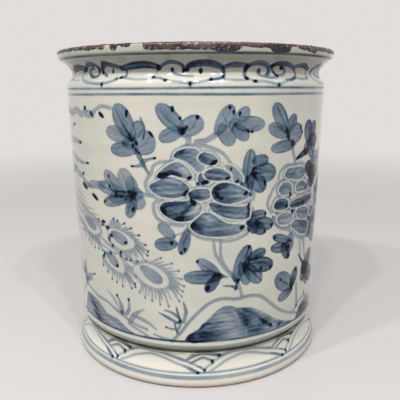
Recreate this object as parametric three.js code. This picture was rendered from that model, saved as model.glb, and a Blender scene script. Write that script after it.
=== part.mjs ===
// A porcelain jardiniere on its low ring stand.
// Millimetres, +Z up. The origin is on the floor under the centre, and the painted front faces -Y.
// The pot and the stand are two separately fired pieces. Each is made of the members that the potter throws,
// turns and joins with slip: wall, floor, foot ring, neck and brown lip for the pot, skirt and seat for the stand.
import * as THREE from "three";

// ---- The pot ----
const SHOULDER_DIAMETER = 240.8; // outside of the wall at its widest, just under the neck
const WALL_DRAW_IN = 3.6; // how much less the radius is at the base than at the shoulder
const POT_HEIGHT = 247.5; // underside of the pot to the top of its lip
const WALL_THICKNESS = 7;
const SHOULDER_ROUND = 5; // height of the soft roll where the wall turns in to the neck
const BASE_ROUND = 8.5; // height of the rounded bottom edge of the wall
const BASE_TURN_IN = 3.3; // how far that edge turns in under the wall
const FLOOR_THICKNESS = 9;
const FLOOR_COVE = 8; // radius of the inside corner between wall and floor
const FOOT_RING_INSET = 16; // bare shoulder between the base edge and the foot ring
const FOOT_RING_WIDTH = 8;
const FOOT_RING_DEPTH = 6;
const FOOT_RING_BEVEL = 1.4; // both lower arrises are turned off

// ---- The neck and lip ----
const NECK_HEIGHT = 25.5; // slip joint at the shoulder to the top of the lip
const NECK_DRAW_IN = 5.2; // how far the hollow of the neck lies inside the shoulder
const NECK_HOLLOW_HEIGHT = 7; // deepest point of that hollow above the joint
const LIP_OVERHANG = 6.2; // how far the lip stands out past the shoulder
const LIP_EDGE_HEIGHT = 6.6; // upright outer edge of the lip
const LIP_LAND = 7.4; // width of the lip's top, from its outer edge to the mouth
const LIP_ROUND = 1.5; // softening of both upper arrises
const MOUTH_BEVEL = 4; // height of the plain bevel just inside the mouth
const MOUTH_BEVEL_IN = 2.6; // how far that bevel leads in

// ---- The iron-brown dressing on the lip ----
const DRESSING_THICKNESS = 0.7;
const DRESSING_INSIDE = 2.6; // how far it runs down the bevel inside the mouth
const DRESSING_RUN = 1; // its usual run down the outer edge, below the upper arris
const DRESSING_FRONT_RUN = 2.3; // further run where it was loaded thickly, at the front
const DRESSING_FRONT_AT = 7; // degrees round from the front, centre of the thick stretch
const DRESSING_FRONT_REACH = 31; // degrees to either side
const DRESSING_RAGGEDNESS = 0.6; // height of the scallops along its lower edge
const CHIP_DEPTH = 2.2; // how far a knocked place bites up into the dressing
const CHIP_LEAST_RUN = 0.2; // what a chip leaves below the arris
const CHIPS = [
  { at: -38, reach: 3.2 },
  { at: -28, reach: 6.5 },
  { at: 52, reach: 4 },
  { at: 118, reach: 5 },
  { at: 171, reach: 3.5 },
  { at: 236, reach: 4.5 },
]; // degrees round from the front, and degrees to either side

// ---- The stand ----
const STAND_HEIGHT = 29; // floor to the seat
const STAND_TOP_MARGIN = 0.5; // how far the top of the stand stands out past the pot's base edge
const STAND_SPREAD = 6.7; // how far the foot stands out past the top
const STAND_WAIST = 5.5; // upright neck of the stand, under the seat
const STAND_ROLL = 7.2; // height of the rolled foot
const STAND_ROLL_UNDERCUT = 2.6; // how far the roll turns in again to meet the floor
const STAND_WALL = 6.5;
const STAND_TOP_ROUND = 1.2;
const SEAT_THICKNESS = 5;
const SEAT_BEVEL = 1;
const SEAT_CLEARANCE = 2; // foot ring to the opening of the seat, all round

// ---- Fits and facets ----
const SLIP_JOINT = 0.1; // line of slip between two luted members
const BEDDING = 0.1; // pot to seat
const TURN_STEPS = 64;
const LIP_STEPS_PER_TURN_STEP = 2;
const CURVE_STEPS = 3;

// ---- Levels and radii that follow ----
const potBase = STAND_HEIGHT + BEDDING;
const lipTop = potBase + POT_HEIGHT;
const neckJoint = lipTop - NECK_HEIGHT;
const shoulderRadius = SHOULDER_DIAMETER / 2;
const baseRadius = shoulderRadius - WALL_DRAW_IN;
const baseEdgeRadius = baseRadius - BASE_TURN_IN;
const hollowRadius = shoulderRadius - NECK_DRAW_IN;
const lipRadius = shoulderRadius + LIP_OVERHANG;
const mouthRadius = lipRadius - LIP_LAND;
const jointRadius = shoulderRadius - NECK_DRAW_IN * 0.3;
const floorRadius = baseRadius - WALL_THICKNESS - FLOOR_COVE;
const floorTop = potBase + FLOOR_THICKNESS;
const footRingRadius = baseEdgeRadius - FOOT_RING_INSET;
const seatOpening = footRingRadius + SEAT_CLEARANCE;
const standTopRadius = baseEdgeRadius + STAND_TOP_MARGIN;
const standFootRadius = standTopRadius + STAND_SPREAD;

const porcelain = { color: 0xd4d0c3, roughness: 0.16, metalness: 0 };
const biscuit = { color: 0xb9a88f, roughness: 0.85, metalness: 0 };
const ironBrown = { color: 0x4d3d33, roughness: 0.42, metalness: 0 };

// The points of a cross-section, running so that the revolved body faces outwards.
function sectionPoints(path, steps) {
  const points = [];
  for (const p of path.getPoints(steps)) {
    const last = points[points.length - 1];
    if (!last || last.distanceTo(p) > 1e-4) points.push(p);
  }
  if (points[0].distanceTo(points[points.length - 1]) < 1e-4) points.pop();
  return THREE.ShapeUtils.area(points) < 0 ? points.reverse() : points;
}

// A body of revolution round +Z. A section that touches the axis gives a disc, any other gives a ring.
function revolve(path, steps = CURVE_STEPS) {
  const points = sectionPoints(path, steps);
  const onAxis = points.filter((p) => p.x < 1e-6);
  if (onAxis.length === 0) {
    points.push(points[0].clone());
  } else {
    while (!(points[0].x < 1e-6 && points[points.length - 1].x < 1e-6)) points.push(points.shift());
  }
  return new THREE.LatheGeometry(points, TURN_STEPS).rotateX(Math.PI / 2);
}

// The turned bodies have flat facets. At this angle a facet lies this share of the radius from the axis.
function facetShare(turn) {
  const facet = (Math.PI * 2) / TURN_STEPS;
  const fromMiddle = (turn % facet) - facet / 2;
  return Math.cos(facet / 2) / Math.cos(fromMiddle);
}

// A ring whose closed section changes as it goes round and that hugs the facets of the turned bodies.
// sectionAt(degrees) gives the same number of points each time.
function loftRound(sectionAt, stepsPerFacet) {
  const positions = [];
  const index = [];
  const steps = TURN_STEPS * stepsPerFacet;
  const count = sectionAt(0).length;
  for (let i = 0; i < steps; i += 1) {
    const turn = (i / steps) * Math.PI * 2;
    const share = i % stepsPerFacet === 0 ? 1 : facetShare(turn);
    for (const p of sectionAt((i / steps) * 360)) {
      positions.push(p.x * share * Math.sin(turn), -p.x * share * Math.cos(turn), p.y);
    }
  }
  for (let i = 0; i < steps; i += 1) {
    const here = i * count;
    const next = ((i + 1) % steps) * count;
    for (let j = 0; j < count; j += 1) {
      const k = (j + 1) % count;
      index.push(here + j, next + j, next + k);
      index.push(here + j, next + k, here + k);
    }
  }
  const geometry = new THREE.BufferGeometry();
  geometry.setAttribute("position", new THREE.Float32BufferAttribute(positions, 3));
  geometry.setIndex(index);
  geometry.computeVertexNormals();
  return geometry;
}

// ---- Pot members ----

// The thrown wall: rounded bottom edge, a slight taper, the roll of the shoulder, and a coved inside corner.
function wallSection() {
  const top = neckJoint - SLIP_JOINT;
  const insideTop = shoulderRadius - WALL_THICKNESS;
  const insideBase = baseRadius - WALL_THICKNESS;
  const path = new THREE.Path();
  path.moveTo(baseEdgeRadius - BASE_TURN_IN * 0.4, potBase);
  path.quadraticCurveTo(baseEdgeRadius, potBase, baseEdgeRadius + 0.3, potBase + BASE_ROUND * 0.14);
  path.quadraticCurveTo(baseRadius - 0.1, potBase + BASE_ROUND * 0.55, baseRadius, potBase + BASE_ROUND);
  path.lineTo(shoulderRadius, top - SHOULDER_ROUND);
  path.quadraticCurveTo(shoulderRadius, top - SHOULDER_ROUND * 0.35, jointRadius, top);
  path.lineTo(jointRadius - WALL_THICKNESS, top);
  path.quadraticCurveTo(insideTop, top - SHOULDER_ROUND * 0.5, insideTop, top - SHOULDER_ROUND * 1.4);
  path.lineTo(insideBase, floorTop + FLOOR_COVE);
  path.quadraticCurveTo(insideBase, floorTop, floorRadius, floorTop);
  path.lineTo(floorRadius, potBase);
  path.closePath();
  return path;
}

// The floor slab, closed across the wall, with a faint dome underneath that kept it from sagging in the kiln.
function floorSection() {
  const edge = floorRadius - SLIP_JOINT;
  const inner = footRingRadius - FOOT_RING_WIDTH;
  const path = new THREE.Path();
  path.moveTo(0, floorTop);
  path.lineTo(edge, floorTop);
  path.lineTo(edge, potBase);
  path.lineTo(inner, potBase);
  path.quadraticCurveTo(inner * 0.5, potBase + FLOOR_THICKNESS * 0.2, 0, potBase + FLOOR_THICKNESS * 0.2);
  path.lineTo(0, floorTop);
  return path;
}

// The foot ring under the floor, both lower arrises turned off, bare where it stood in the kiln.
function footRingSection() {
  const top = potBase - SLIP_JOINT;
  const bottom = top - FOOT_RING_DEPTH;
  const inner = footRingRadius - FOOT_RING_WIDTH;
  const path = new THREE.Path();
  path.moveTo(inner, top);
  path.lineTo(footRingRadius, top);
  path.lineTo(footRingRadius, bottom + FOOT_RING_BEVEL);
  path.lineTo(footRingRadius - FOOT_RING_BEVEL, bottom);
  path.lineTo(inner + FOOT_RING_BEVEL, bottom);
  path.lineTo(inner, bottom + FOOT_RING_BEVEL);
  path.closePath();
  return path;
}

// The hollow neck that turns out into the lip. Outside and inside run side by side, one wall apart.
function neckSection() {
  const under = lipTop - LIP_EDGE_HEIGHT;
  const hollow = neckJoint + NECK_HOLLOW_HEIGHT;
  const insideHollow = hollowRadius - WALL_THICKNESS;
  const rise = under - hollow;
  const path = new THREE.Path();
  path.moveTo(jointRadius, neckJoint);
  path.quadraticCurveTo(hollowRadius, hollow - NECK_HOLLOW_HEIGHT * 0.6, hollowRadius, hollow);
  path.bezierCurveTo(
    hollowRadius, hollow + rise * 0.45,
    lipRadius - LIP_OVERHANG * 0.75, under - rise * 0.25,
    lipRadius - LIP_ROUND * 0.7, under,
  );
  path.quadraticCurveTo(lipRadius, under + LIP_ROUND * 0.4, lipRadius, under + LIP_ROUND * 1.3);
  path.lineTo(lipRadius, lipTop - LIP_ROUND);
  path.quadraticCurveTo(lipRadius, lipTop, lipRadius - LIP_ROUND, lipTop);
  path.lineTo(mouthRadius + LIP_ROUND, lipTop);
  path.quadraticCurveTo(mouthRadius, lipTop, mouthRadius, lipTop - LIP_ROUND);
  path.lineTo(mouthRadius - MOUTH_BEVEL_IN, lipTop - LIP_ROUND - MOUTH_BEVEL);
  path.quadraticCurveTo(insideHollow, hollow + rise * 0.5, insideHollow, hollow);
  path.quadraticCurveTo(insideHollow, hollow - NECK_HOLLOW_HEIGHT * 0.6, jointRadius - WALL_THICKNESS, neckJoint);
  path.closePath();
  return path;
}

// The outline of the lip from inside the mouth, over the land, to the lower end of the outer arris.
function lipOutline() {
  const insideStart = mouthRadius - (MOUTH_BEVEL_IN * DRESSING_INSIDE) / MOUTH_BEVEL;
  const path = new THREE.Path();
  path.moveTo(insideStart, lipTop - LIP_ROUND - DRESSING_INSIDE);
  path.lineTo(mouthRadius, lipTop - LIP_ROUND);
  path.quadraticCurveTo(mouthRadius, lipTop, mouthRadius + LIP_ROUND, lipTop);
  path.lineTo(lipRadius - LIP_ROUND, lipTop);
  path.quadraticCurveTo(lipRadius, lipTop, lipRadius, lipTop - LIP_ROUND);
  return path.getPoints(CURVE_STEPS);
}

// An open line moved sideways, to its left, by the distance that amount(index) gives, with mitred corners.
function offsetLine(points, amount) {
  return points.map((p, i) => {
    const before = points[Math.max(i - 1, 0)];
    const after = points[Math.min(i + 1, points.length - 1)];
    const into = i > 0 ? p.clone().sub(before).normalize() : after.clone().sub(p).normalize();
    const out = i < points.length - 1 ? after.clone().sub(p).normalize() : into;
    const along = into.clone().add(out).normalize();
    const reach = amount(i) / Math.max(along.dot(into), 0.5);
    return new THREE.Vector2(p.x - along.y * reach, p.y + along.x * reach);
  });
}

// How far the brown dressing runs down the lip's outer edge: thick at the front, ragged all round, bitten by chips.
function dressingRun(degrees) {
  const turned = (centre) => Math.abs(((((degrees - centre) % 360) + 540) % 360) - 180);
  const radians = THREE.MathUtils.degToRad(degrees);
  const away = THREE.MathUtils.smoothstep(turned(DRESSING_FRONT_AT), DRESSING_FRONT_REACH * 0.6, DRESSING_FRONT_REACH);
  const scallops =
    0.5 * Math.sin(31 * radians + 0.6) + 0.3 * Math.sin(47 * radians + 2.1) + 0.2 * Math.sin(13 * radians + 4);
  let bitten = 0;
  for (const chip of CHIPS) {
    const bite = 1 - THREE.MathUtils.smoothstep(turned(chip.at), chip.reach * 0.5, chip.reach);
    bitten = Math.max(bitten, bite);
  }
  const run = DRESSING_RUN + DRESSING_FRONT_RUN * (1 - away) + DRESSING_RAGGEDNESS * scallops;
  return Math.max(run - CHIP_DEPTH * bitten, CHIP_LEAST_RUN);
}

// The dressing's section at one place round the lip: a skin on the lip's own outline, a line of slip away from it,
// drawn down the outer edge as far as it runs there and thinned out at both ends.
function dressingSection(outline, degrees) {
  const line = outline.concat(new THREE.Vector2(lipRadius, lipTop - LIP_ROUND - dressingRun(degrees)));
  const last = line.length - 1;
  const skin = (i) => SLIP_JOINT + DRESSING_THICKNESS * (i === 0 || i === last ? 0.4 : 1);
  const inside = offsetLine(line, () => SLIP_JOINT);
  const outside = offsetLine(line, skin);
  return inside.concat(outside.reverse());
}

// ---- Stand members ----

// The flared skirt: an upright waist under the seat, a hollow sweep outwards and a rolled foot on the floor.
function skirtSection() {
  const waist = STAND_HEIGHT - STAND_WAIST;
  const roll = STAND_ROLL;
  const contact = standFootRadius - STAND_ROLL_UNDERCUT;
  const insideTop = standTopRadius - STAND_WALL;
  const path = new THREE.Path();
  path.moveTo(insideTop, STAND_HEIGHT);
  path.lineTo(standTopRadius - STAND_TOP_ROUND, STAND_HEIGHT);
  path.quadraticCurveTo(standTopRadius, STAND_HEIGHT, standTopRadius, STAND_HEIGHT - STAND_TOP_ROUND);
  path.lineTo(standTopRadius, waist);
  path.bezierCurveTo(
    standTopRadius + STAND_SPREAD * 0.04, waist - (waist - roll) * 0.4,
    standFootRadius - STAND_SPREAD * 0.3, roll + (waist - roll) * 0.3,
    standFootRadius - STAND_SPREAD * 0.04, roll,
  );
  path.quadraticCurveTo(standFootRadius + STAND_SPREAD * 0.06, roll * 0.62, standFootRadius, roll * 0.36);
  path.quadraticCurveTo(standFootRadius - STAND_ROLL_UNDERCUT * 0.3, 0, contact, 0);
  path.lineTo(contact - STAND_WALL + STAND_ROLL_UNDERCUT * 0.5, 0);
  path.bezierCurveTo(
    contact - STAND_WALL, roll * 0.5,
    insideTop, waist - (waist - roll) * 0.5,
    insideTop, waist,
  );
  path.closePath();
  return path;
}

// The seat: a flat ledge inside the top of the skirt, with the opening that takes the pot's foot ring.
function seatSection() {
  const outer = standTopRadius - STAND_WALL - SLIP_JOINT;
  const under = STAND_HEIGHT - SEAT_THICKNESS;
  const path = new THREE.Path();
  path.moveTo(outer, STAND_HEIGHT);
  path.lineTo(outer, under);
  path.lineTo(seatOpening + SEAT_BEVEL, under);
  path.lineTo(seatOpening, under + SEAT_BEVEL);
  path.lineTo(seatOpening, STAND_HEIGHT - SEAT_BEVEL);
  path.lineTo(seatOpening + SEAT_BEVEL, STAND_HEIGHT);
  path.closePath();
  return path;
}

// ---- Assembly ----

function member(name, geometry, look) {
  const mesh = new THREE.Mesh(geometry, new THREE.MeshStandardMaterial(look));
  mesh.name = name;
  return mesh;
}

const outline = lipOutline();
const jardiniere = new THREE.Group();
jardiniere.add(
  member("pot_wall", revolve(wallSection()), porcelain),
  member("pot_floor", revolve(floorSection()), porcelain),
  member("pot_foot_ring", revolve(footRingSection()), biscuit),
  member("pot_neck", revolve(neckSection()), porcelain),
  member("lip_dressing", loftRound((degrees) => dressingSection(outline, degrees), LIP_STEPS_PER_TURN_STEP), ironBrown),
);

const stand = new THREE.Group();
stand.add(
  member("stand_skirt", revolve(skirtSection()), porcelain),
  member("stand_seat", revolve(seatSection()), porcelain),
);

const group = new THREE.Group();
group.add(stand, jardiniere);

export default group;
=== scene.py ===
"""A porcelain jardiniere on its ring stand, painted in washes of cobalt under a clear glaze.

Metres in Blender, millimetres and degrees in the tables. Degrees run round the pot from its painted front (-Y)
towards its right (+X), and heights are above the floor.
"""

import math

import bpy
import numpy as np
from mathutils import Matrix


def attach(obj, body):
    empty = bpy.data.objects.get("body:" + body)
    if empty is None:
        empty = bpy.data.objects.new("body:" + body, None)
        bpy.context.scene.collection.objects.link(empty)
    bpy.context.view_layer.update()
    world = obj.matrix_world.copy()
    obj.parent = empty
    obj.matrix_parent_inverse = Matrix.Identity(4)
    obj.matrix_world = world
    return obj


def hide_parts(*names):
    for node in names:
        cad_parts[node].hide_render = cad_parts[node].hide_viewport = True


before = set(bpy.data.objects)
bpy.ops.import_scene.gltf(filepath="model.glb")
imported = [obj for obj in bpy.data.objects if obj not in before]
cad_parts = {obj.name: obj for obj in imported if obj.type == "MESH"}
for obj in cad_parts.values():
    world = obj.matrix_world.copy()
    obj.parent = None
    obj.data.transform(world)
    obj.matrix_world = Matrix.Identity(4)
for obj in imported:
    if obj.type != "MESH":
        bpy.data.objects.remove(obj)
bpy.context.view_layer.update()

MM = 0.001
MM_PER_DEGREE = 2.068  # along the wall

# ---- Sizes in millimetres, as the solids have them ----
FOOT_BOTTOM = 23.1
BASE_OF_POT = 29.1
FLOOR_OF_POT = 38.1
SHOULDER = 246
JOINT_OF_NECK = 251.1
WAIST_OF_NECK = 258.1
TOP_OF_LIP = 276.6
TOP_OF_STAND = 29
FOOT_BORE, FOOT_RADIUS = 89.5, 97.5
FLOOR_RADIUS = 101.8
WALL_BORE, SHOULDER_RADIUS = 113.4, 120.4
JOINT_BORE, JOINT_RADIUS = 111.84, 118.84
WAIST_BORE, WAIST_RADIUS = 108.2, 115.2
MOUTH_BORE, LIP_RADIUS = 119.2, 126.6
LIP_ROUND = 1.5
SEAT_BORE, STAND_BORE, STAND_RADIUS = 99.5, 107.5, 114

# ---- Fineness of the painted skins ----
COLUMNS = 1080  # round the whole pot, three to a degree
DRESSING_COLUMNS = 1440  # finer, for its ragged edge
PLAIN_COLUMNS = 360  # round the foot ring and the seat
SLAB_COLUMNS = 256  # round the pot's floor
ROW = 0.95  # up the wall
FINE_ROW = 0.7  # up the neck and the stand

# ---- How a stroke lies, in millimetres inside its outline ----
BARE = -3.0  # what a place that no stroke comes near is given
LAYERS = (("ink", -0.5, 0.5), ("spread", -1.7, -0.7))  # where each layer of a stroke fades in
REACH = 3.2  # how far outside its outline a stroke is worked out
UNDER = 0.3  # how much of the weaker of two washes is added to the stronger
RIM_WIDTH = 0.8
ROOT = 0.14  # how far a leaf's stroke starts behind its base, as a share of its length

# ---- Colours, as sRGB 0 to 255 ----
GLAZE = (218, 213, 199)
GLAZE_POOLED = (205, 204, 193)
# Painted shade, mixed into the glaze colour: the first under the lip, the second in the groove where pot and stand
# meet.
LIP_SHADE_GREY = (130, 128, 116)
CREASE_SHADE_OLIVE = (112, 113, 100)
STAND_GLAZE = (226, 221, 209)
IRON_SPECK = (120, 98, 78)
THIN_EDGE = (196, 176, 156)
WIPED_CLAY = (84, 60, 44)
# The third, near black, is for heavy slip and for painted shade where the dressing turns under the lip.
SLIP_DARK, SLIP_WORN, SLIP_HEAVY_AND_SHADED = (36, 28, 24), (92, 75, 63), (12, 9, 8)
BODY_FLECK = (214, 204, 190)
CLAY, CLAY_BLUSH, CLAY_GRIT = (205, 192, 170), (168, 132, 98), (92, 70, 54)
BACKDROP = (226, 221, 219)
FLOOR_SEEN, FLOOR_IN_LIGHT = (206, 202, 200), (128, 126, 122)
WASHES = [
    (0.0, (206, 204, 192)),
    (0.14, (180, 182, 176)),
    (0.26, (154, 162, 165)),
    (0.38, (130, 142, 151)),
    (0.5, (106, 122, 136)),
    (0.62, (82, 102, 121)),
    (0.74, (57, 78, 100)),
    (0.86, (32, 50, 73)),
    (1.0, (3, 10, 20)),
]


def linear(rgb):
    """An sRGB colour of 0 to 255 as the linear colour that Blender works in, c/12.92 where dark and
    ((c + 0.055) / 1.055) ^ 2.4 elsewhere, and opaque."""
    c = np.array(rgb, float) / 255
    c = np.where(c <= 0.04045, c / 12.92, ((c + 0.055) / 1.055) ** 2.4)
    return (*[float(x) for x in c], 1.0)


def smooth(low, high, x):
    """0 below low, 1 above high, and the even S-curve 3t^2 - 2t^3 between them."""
    t = np.clip((x - low) / (high - low), 0, 1)
    return t * t * (3 - 2 * t)


# ---------------------------------------------------------------- profiles


def bend(start, pull, end, count=12):
    """A quadratic curve as points, (1-t)^2 start + 2t(1-t) pull + t^2 end: it leans towards pull."""
    t = np.linspace(0, 1, count)[:, None]
    a, b, c = (np.array(p, float) for p in (start, pull, end))
    return (1 - t) ** 2 * a + 2 * t * (1 - t) * b + t * t * c


def sweep(start, pull, push, end, count=20):
    """A cubic curve as points, (1-t)^3 start + 3t(1-t)^2 pull + 3t^2(1-t) push + t^3 end: it leaves towards pull
    and arrives from push."""
    t = np.linspace(0, 1, count)[:, None]
    a, b, c, d = (np.array(p, float) for p in (start, pull, push, end))
    return (1 - t) ** 3 * a + 3 * t * (1 - t) ** 2 * b + 3 * t * t * (1 - t) * c + t**3 * d


def chain(*runs):
    """Runs of points put end to end, without the points that two runs share."""
    points = np.vstack([np.atleast_2d(np.array(r, float)) for r in runs])
    step = np.hypot(*np.diff(points, axis=0).T)
    return points[np.concatenate([[True], step > 1e-5])]


def walked_length(points):
    """How far along the line each of its points lies: the running sum of the steps between them."""
    return np.concatenate([[0], np.cumsum(np.hypot(*np.diff(points, axis=0).T))])


def evenly(points, pitch):
    """The line through points, walked in equal steps of about pitch."""
    points = np.asarray(points, float)
    run = walked_length(points)
    at = np.linspace(0, run[-1], max(int(round(run[-1] / pitch)), 1) + 1)
    return np.stack([np.interp(at, run, points[:, k]) for k in (0, 1)], 1)


# ---------------------------------------------------------------- meshes


def into_mesh(name, points, quads, caps=()):
    """A mesh object from an array of points in millimetres, an array of four-cornered faces and a few closing
    faces. Edges sharper than 38 degrees stay sharp."""
    quads = np.asarray(quads, np.int32)
    corners = np.concatenate([quads.ravel(), *[np.asarray(c, np.int32) for c in caps]])
    sizes = np.concatenate([np.full(len(quads), 4), [len(c) for c in caps]]).astype(np.int32)
    starts = np.concatenate([[0], np.cumsum(sizes)[:-1]]).astype(np.int32)
    mesh = bpy.data.meshes.new(name)
    mesh.vertices.add(len(points))
    mesh.vertices.foreach_set("co", (np.asarray(points, float) * MM).astype(np.float32).ravel())
    mesh.loops.add(len(corners))
    mesh.loops.foreach_set("vertex_index", corners)
    mesh.polygons.add(len(sizes))
    mesh.polygons.foreach_set("loop_start", starts)
    mesh.polygons.foreach_set("use_smooth", np.ones(len(sizes), bool))
    mesh.update(calc_edges=True)
    mesh.validate()
    mesh.set_sharp_from_angle(angle=math.radians(38))
    piece = bpy.data.objects.new(name, mesh)
    bpy.context.scene.collection.objects.link(piece)
    return piece


def keep_field(piece, name, values):
    """One number for each point of the piece, for its material to read."""
    field = piece.data.attributes.new(name, "FLOAT", "POINT")
    field.data.foreach_set("value", np.asarray(values, np.float32).ravel())


def carried_round(radius, height, turns):
    """Points (r sin(turn), -r cos(turn), height): a profile's radius and height carried round the upright axis."""
    a = np.radians(turns)[:, None]
    return np.stack([radius * np.sin(a), -radius * np.cos(a), np.broadcast_to(height, radius.shape)], -1)


def faces_between(this, following, row, next_row, n):
    """Four-cornered faces between columns of n points: this column's two rows and the following column's."""
    corners = (this * n + row, following * n + row, following * n + next_row, this * n + next_row)
    return np.stack(np.broadcast_arrays(*corners), -1).reshape(-1, 4)


def turned(name, section, columns, start=0.0, span=360, push=None):
    """A body of revolution. The closed section (radius, height) runs up the outside and down the inside and is
    carried round the upright axis. Less than a whole turn is closed with its own section at both ends.
    push(turns, section), in millimetres, moves each point outwards, away from a perfect circle. A section whose
    first and last points lie on the axis makes a disc, and the two poles are single points."""
    section = np.asarray(section, float)
    n = len(section)
    whole = span == 360
    count = columns if whole else columns + 1
    turns = start + np.arange(count) * span / columns
    radius = section[None, :, 0] + (np.zeros((count, n)) if push is None else push(turns, section))
    points = carried_round(radius, section[None, :, 1], turns)
    this = np.arange(columns)[:, None]
    following = (this + 1) % count
    if section[0, 0] < 1e-6 and section[-1, 0] < 1e-6:
        ring = n - 2
        row = np.arange(ring - 1)[None, :]
        quads = faces_between(this, following, row, row + 1, ring)
        low, high = count * ring, count * ring + 1
        points = np.vstack([points[:, 1:-1].reshape(-1, 3), points[0, 0], points[0, -1]])
        caps = [(low, q * ring, p * ring) for p, q in zip(this[:, 0], following[:, 0])]
        caps += [(high, p * ring + ring - 1, q * ring + ring - 1) for p, q in zip(this[:, 0], following[:, 0])]
        return into_mesh(name, points, quads, caps)
    row = np.arange(n)[None, :]
    quads = faces_between(this, following, row, (row + 1) % n, n)
    caps = [] if whole else [np.arange(n), (count - 1) * n + np.arange(n)[::-1]]
    return into_mesh(name, points.reshape(-1, 3), quads, caps)


# ---------------------------------------------------------------- painting


def blank(turns, heights):
    """A sheet of bare glaze: one value for each angle and height of a skin's points."""
    size = (len(turns), len(heights))
    return {
        "turns": turns,
        "heights": heights,
        "ink": np.zeros(size),
        "spread": np.zeros(size),
        "edge": np.full(size, BARE),
    }


def smooth_path(points, closed=False, per_leg=7):
    """A Catmull-Rom curve through the points: each leg is steered by the points before and after it."""
    p = np.array(points, float)
    if len(p) == 2 and not closed:
        return np.linspace(p[0], p[1], per_leg)
    before, after = (p[-1:], p[:2]) if closed else (2 * p[:1] - p[1:2], 2 * p[-1:] - p[-2:-1])
    q = np.vstack([before, p, after])
    t = np.linspace(0, 1, per_leg, endpoint=False)[:, None]
    legs = []
    for a, b, c, d in zip(q, q[1:], q[2:], q[3:]):
        legs.append(0.5 * (2 * b + (c - a) * t + (2 * a - 5 * b + 4 * c - d) * t**2 + (3 * b - a - 3 * c + d) * t**3))
    ends = [] if closed else [p[-1:]]
    return np.vstack(legs + ends)


def petal_field(x, y, row):
    """Inside an egg from its base to its tip: how deep, (1 - rho) / |grad rho| with rho = 1 on its outline, how
    far along, and how far off the middle line."""
    x0, y0, x1, y1, half = row
    length = math.hypot(x1 - x0, y1 - y0)
    a = length / 2
    ux, uy = (x1 - x0) / length, (y1 - y0) / length
    u = (x - (x0 + x1) / 2) * ux + (y - (y0 + y1) / 2) * uy
    v = (y - (y0 + y1) / 2) * ux - (x - (x0 + x1) / 2) * uy
    b = half * (1 + 0.15 * np.clip(u / a, -1.2, 1.2))
    rho = np.hypot(u / a, v / b)
    steep = np.hypot(u / a**2, v / b**2) / np.maximum(rho, 1e-3)
    return (1 - rho) / np.maximum(steep, 1e-3), u / length + 0.5, v


def from_leg(x, y, start, end):
    """How far along a straight leg the nearest place lies, as a share, and the way from there to each point."""
    dx, dy = end[0] - start[0], end[1] - start[1]
    t = np.clip(((x - start[0]) * dx + (y - start[1]) * dy) / max(dx * dx + dy * dy, 1e-9), 0, 1)
    return t, x - start[0] - t * dx, y - start[1] - t * dy


def line_field(x, y, path, half):
    """Inside a brushed line: its half width, which goes evenly through the listed ones, less the distance to the
    nearest leg of its path; then how far along it, and how far to which side."""
    best = np.full(x.shape, 1e9)
    share = np.zeros(x.shape)
    side = np.zeros(x.shape)
    legs = len(path) - 1
    for k in range(legs):
        t, px, py = from_leg(x, y, path[k], path[k + 1])
        dx, dy = path[k + 1] - path[k]
        gap = np.hypot(px, py)
        near = gap < best
        best = np.where(near, gap, best)
        share = np.where(near, (k + t) / legs, share)
        side = np.where(near, gap * np.sign(dx * py - dy * px), side)
    width = np.interp(share, np.linspace(0, 1, len(half)), half)
    return width - best, share, side


def patch_field(x, y, path, grain):
    """Inside a closed outline: distance to its nearest leg, plus inside and minus outside, then the share from
    left to right, and the place across brush marks that run at the angle grain."""
    best = np.full(x.shape, 1e9)
    inside = np.zeros(x.shape, bool)
    for (x0, y0), (x1, y1) in zip(path, np.roll(path, -1, axis=0)):
        _, px, py = from_leg(x, y, (x0, y0), (x1, y1))
        best = np.minimum(best, np.hypot(px, py))
        if y0 != y1:
            inside ^= ((y0 > y) != (y1 > y)) & (x < x0 + (y - y0) * (x1 - x0) / (y1 - y0))
    g = math.radians(grain)
    low, high = path[:, 0].min(), path[:, 0].max()
    return np.where(inside, best, -best), (x - low) / (high - low), y * math.cos(g) - x * math.sin(g)


def under_stroke(sheet, box, margin):
    """The parts of the sheet, as it goes round, that a stroke's box reaches with a margin in millimetres: slices,
    and places in millimetres."""
    for whole_turns in (-360, 0, 360):
        turns = sheet["turns"] - whole_turns
        c0, c1 = np.searchsorted(turns, [box[0] - margin / 2, box[1] + margin / 2])
        r0, r1 = np.searchsorted(sheet["heights"], [box[2] - margin, box[3] + margin])
        if c1 > c0 and r1 > r0:
            x, y = np.meshgrid(turns[c0:c1] * MM_PER_DEGREE, sheet["heights"][r0:r1], indexing="ij")
            yield (slice(c0, c1), slice(r0, r1)), x, y


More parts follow.
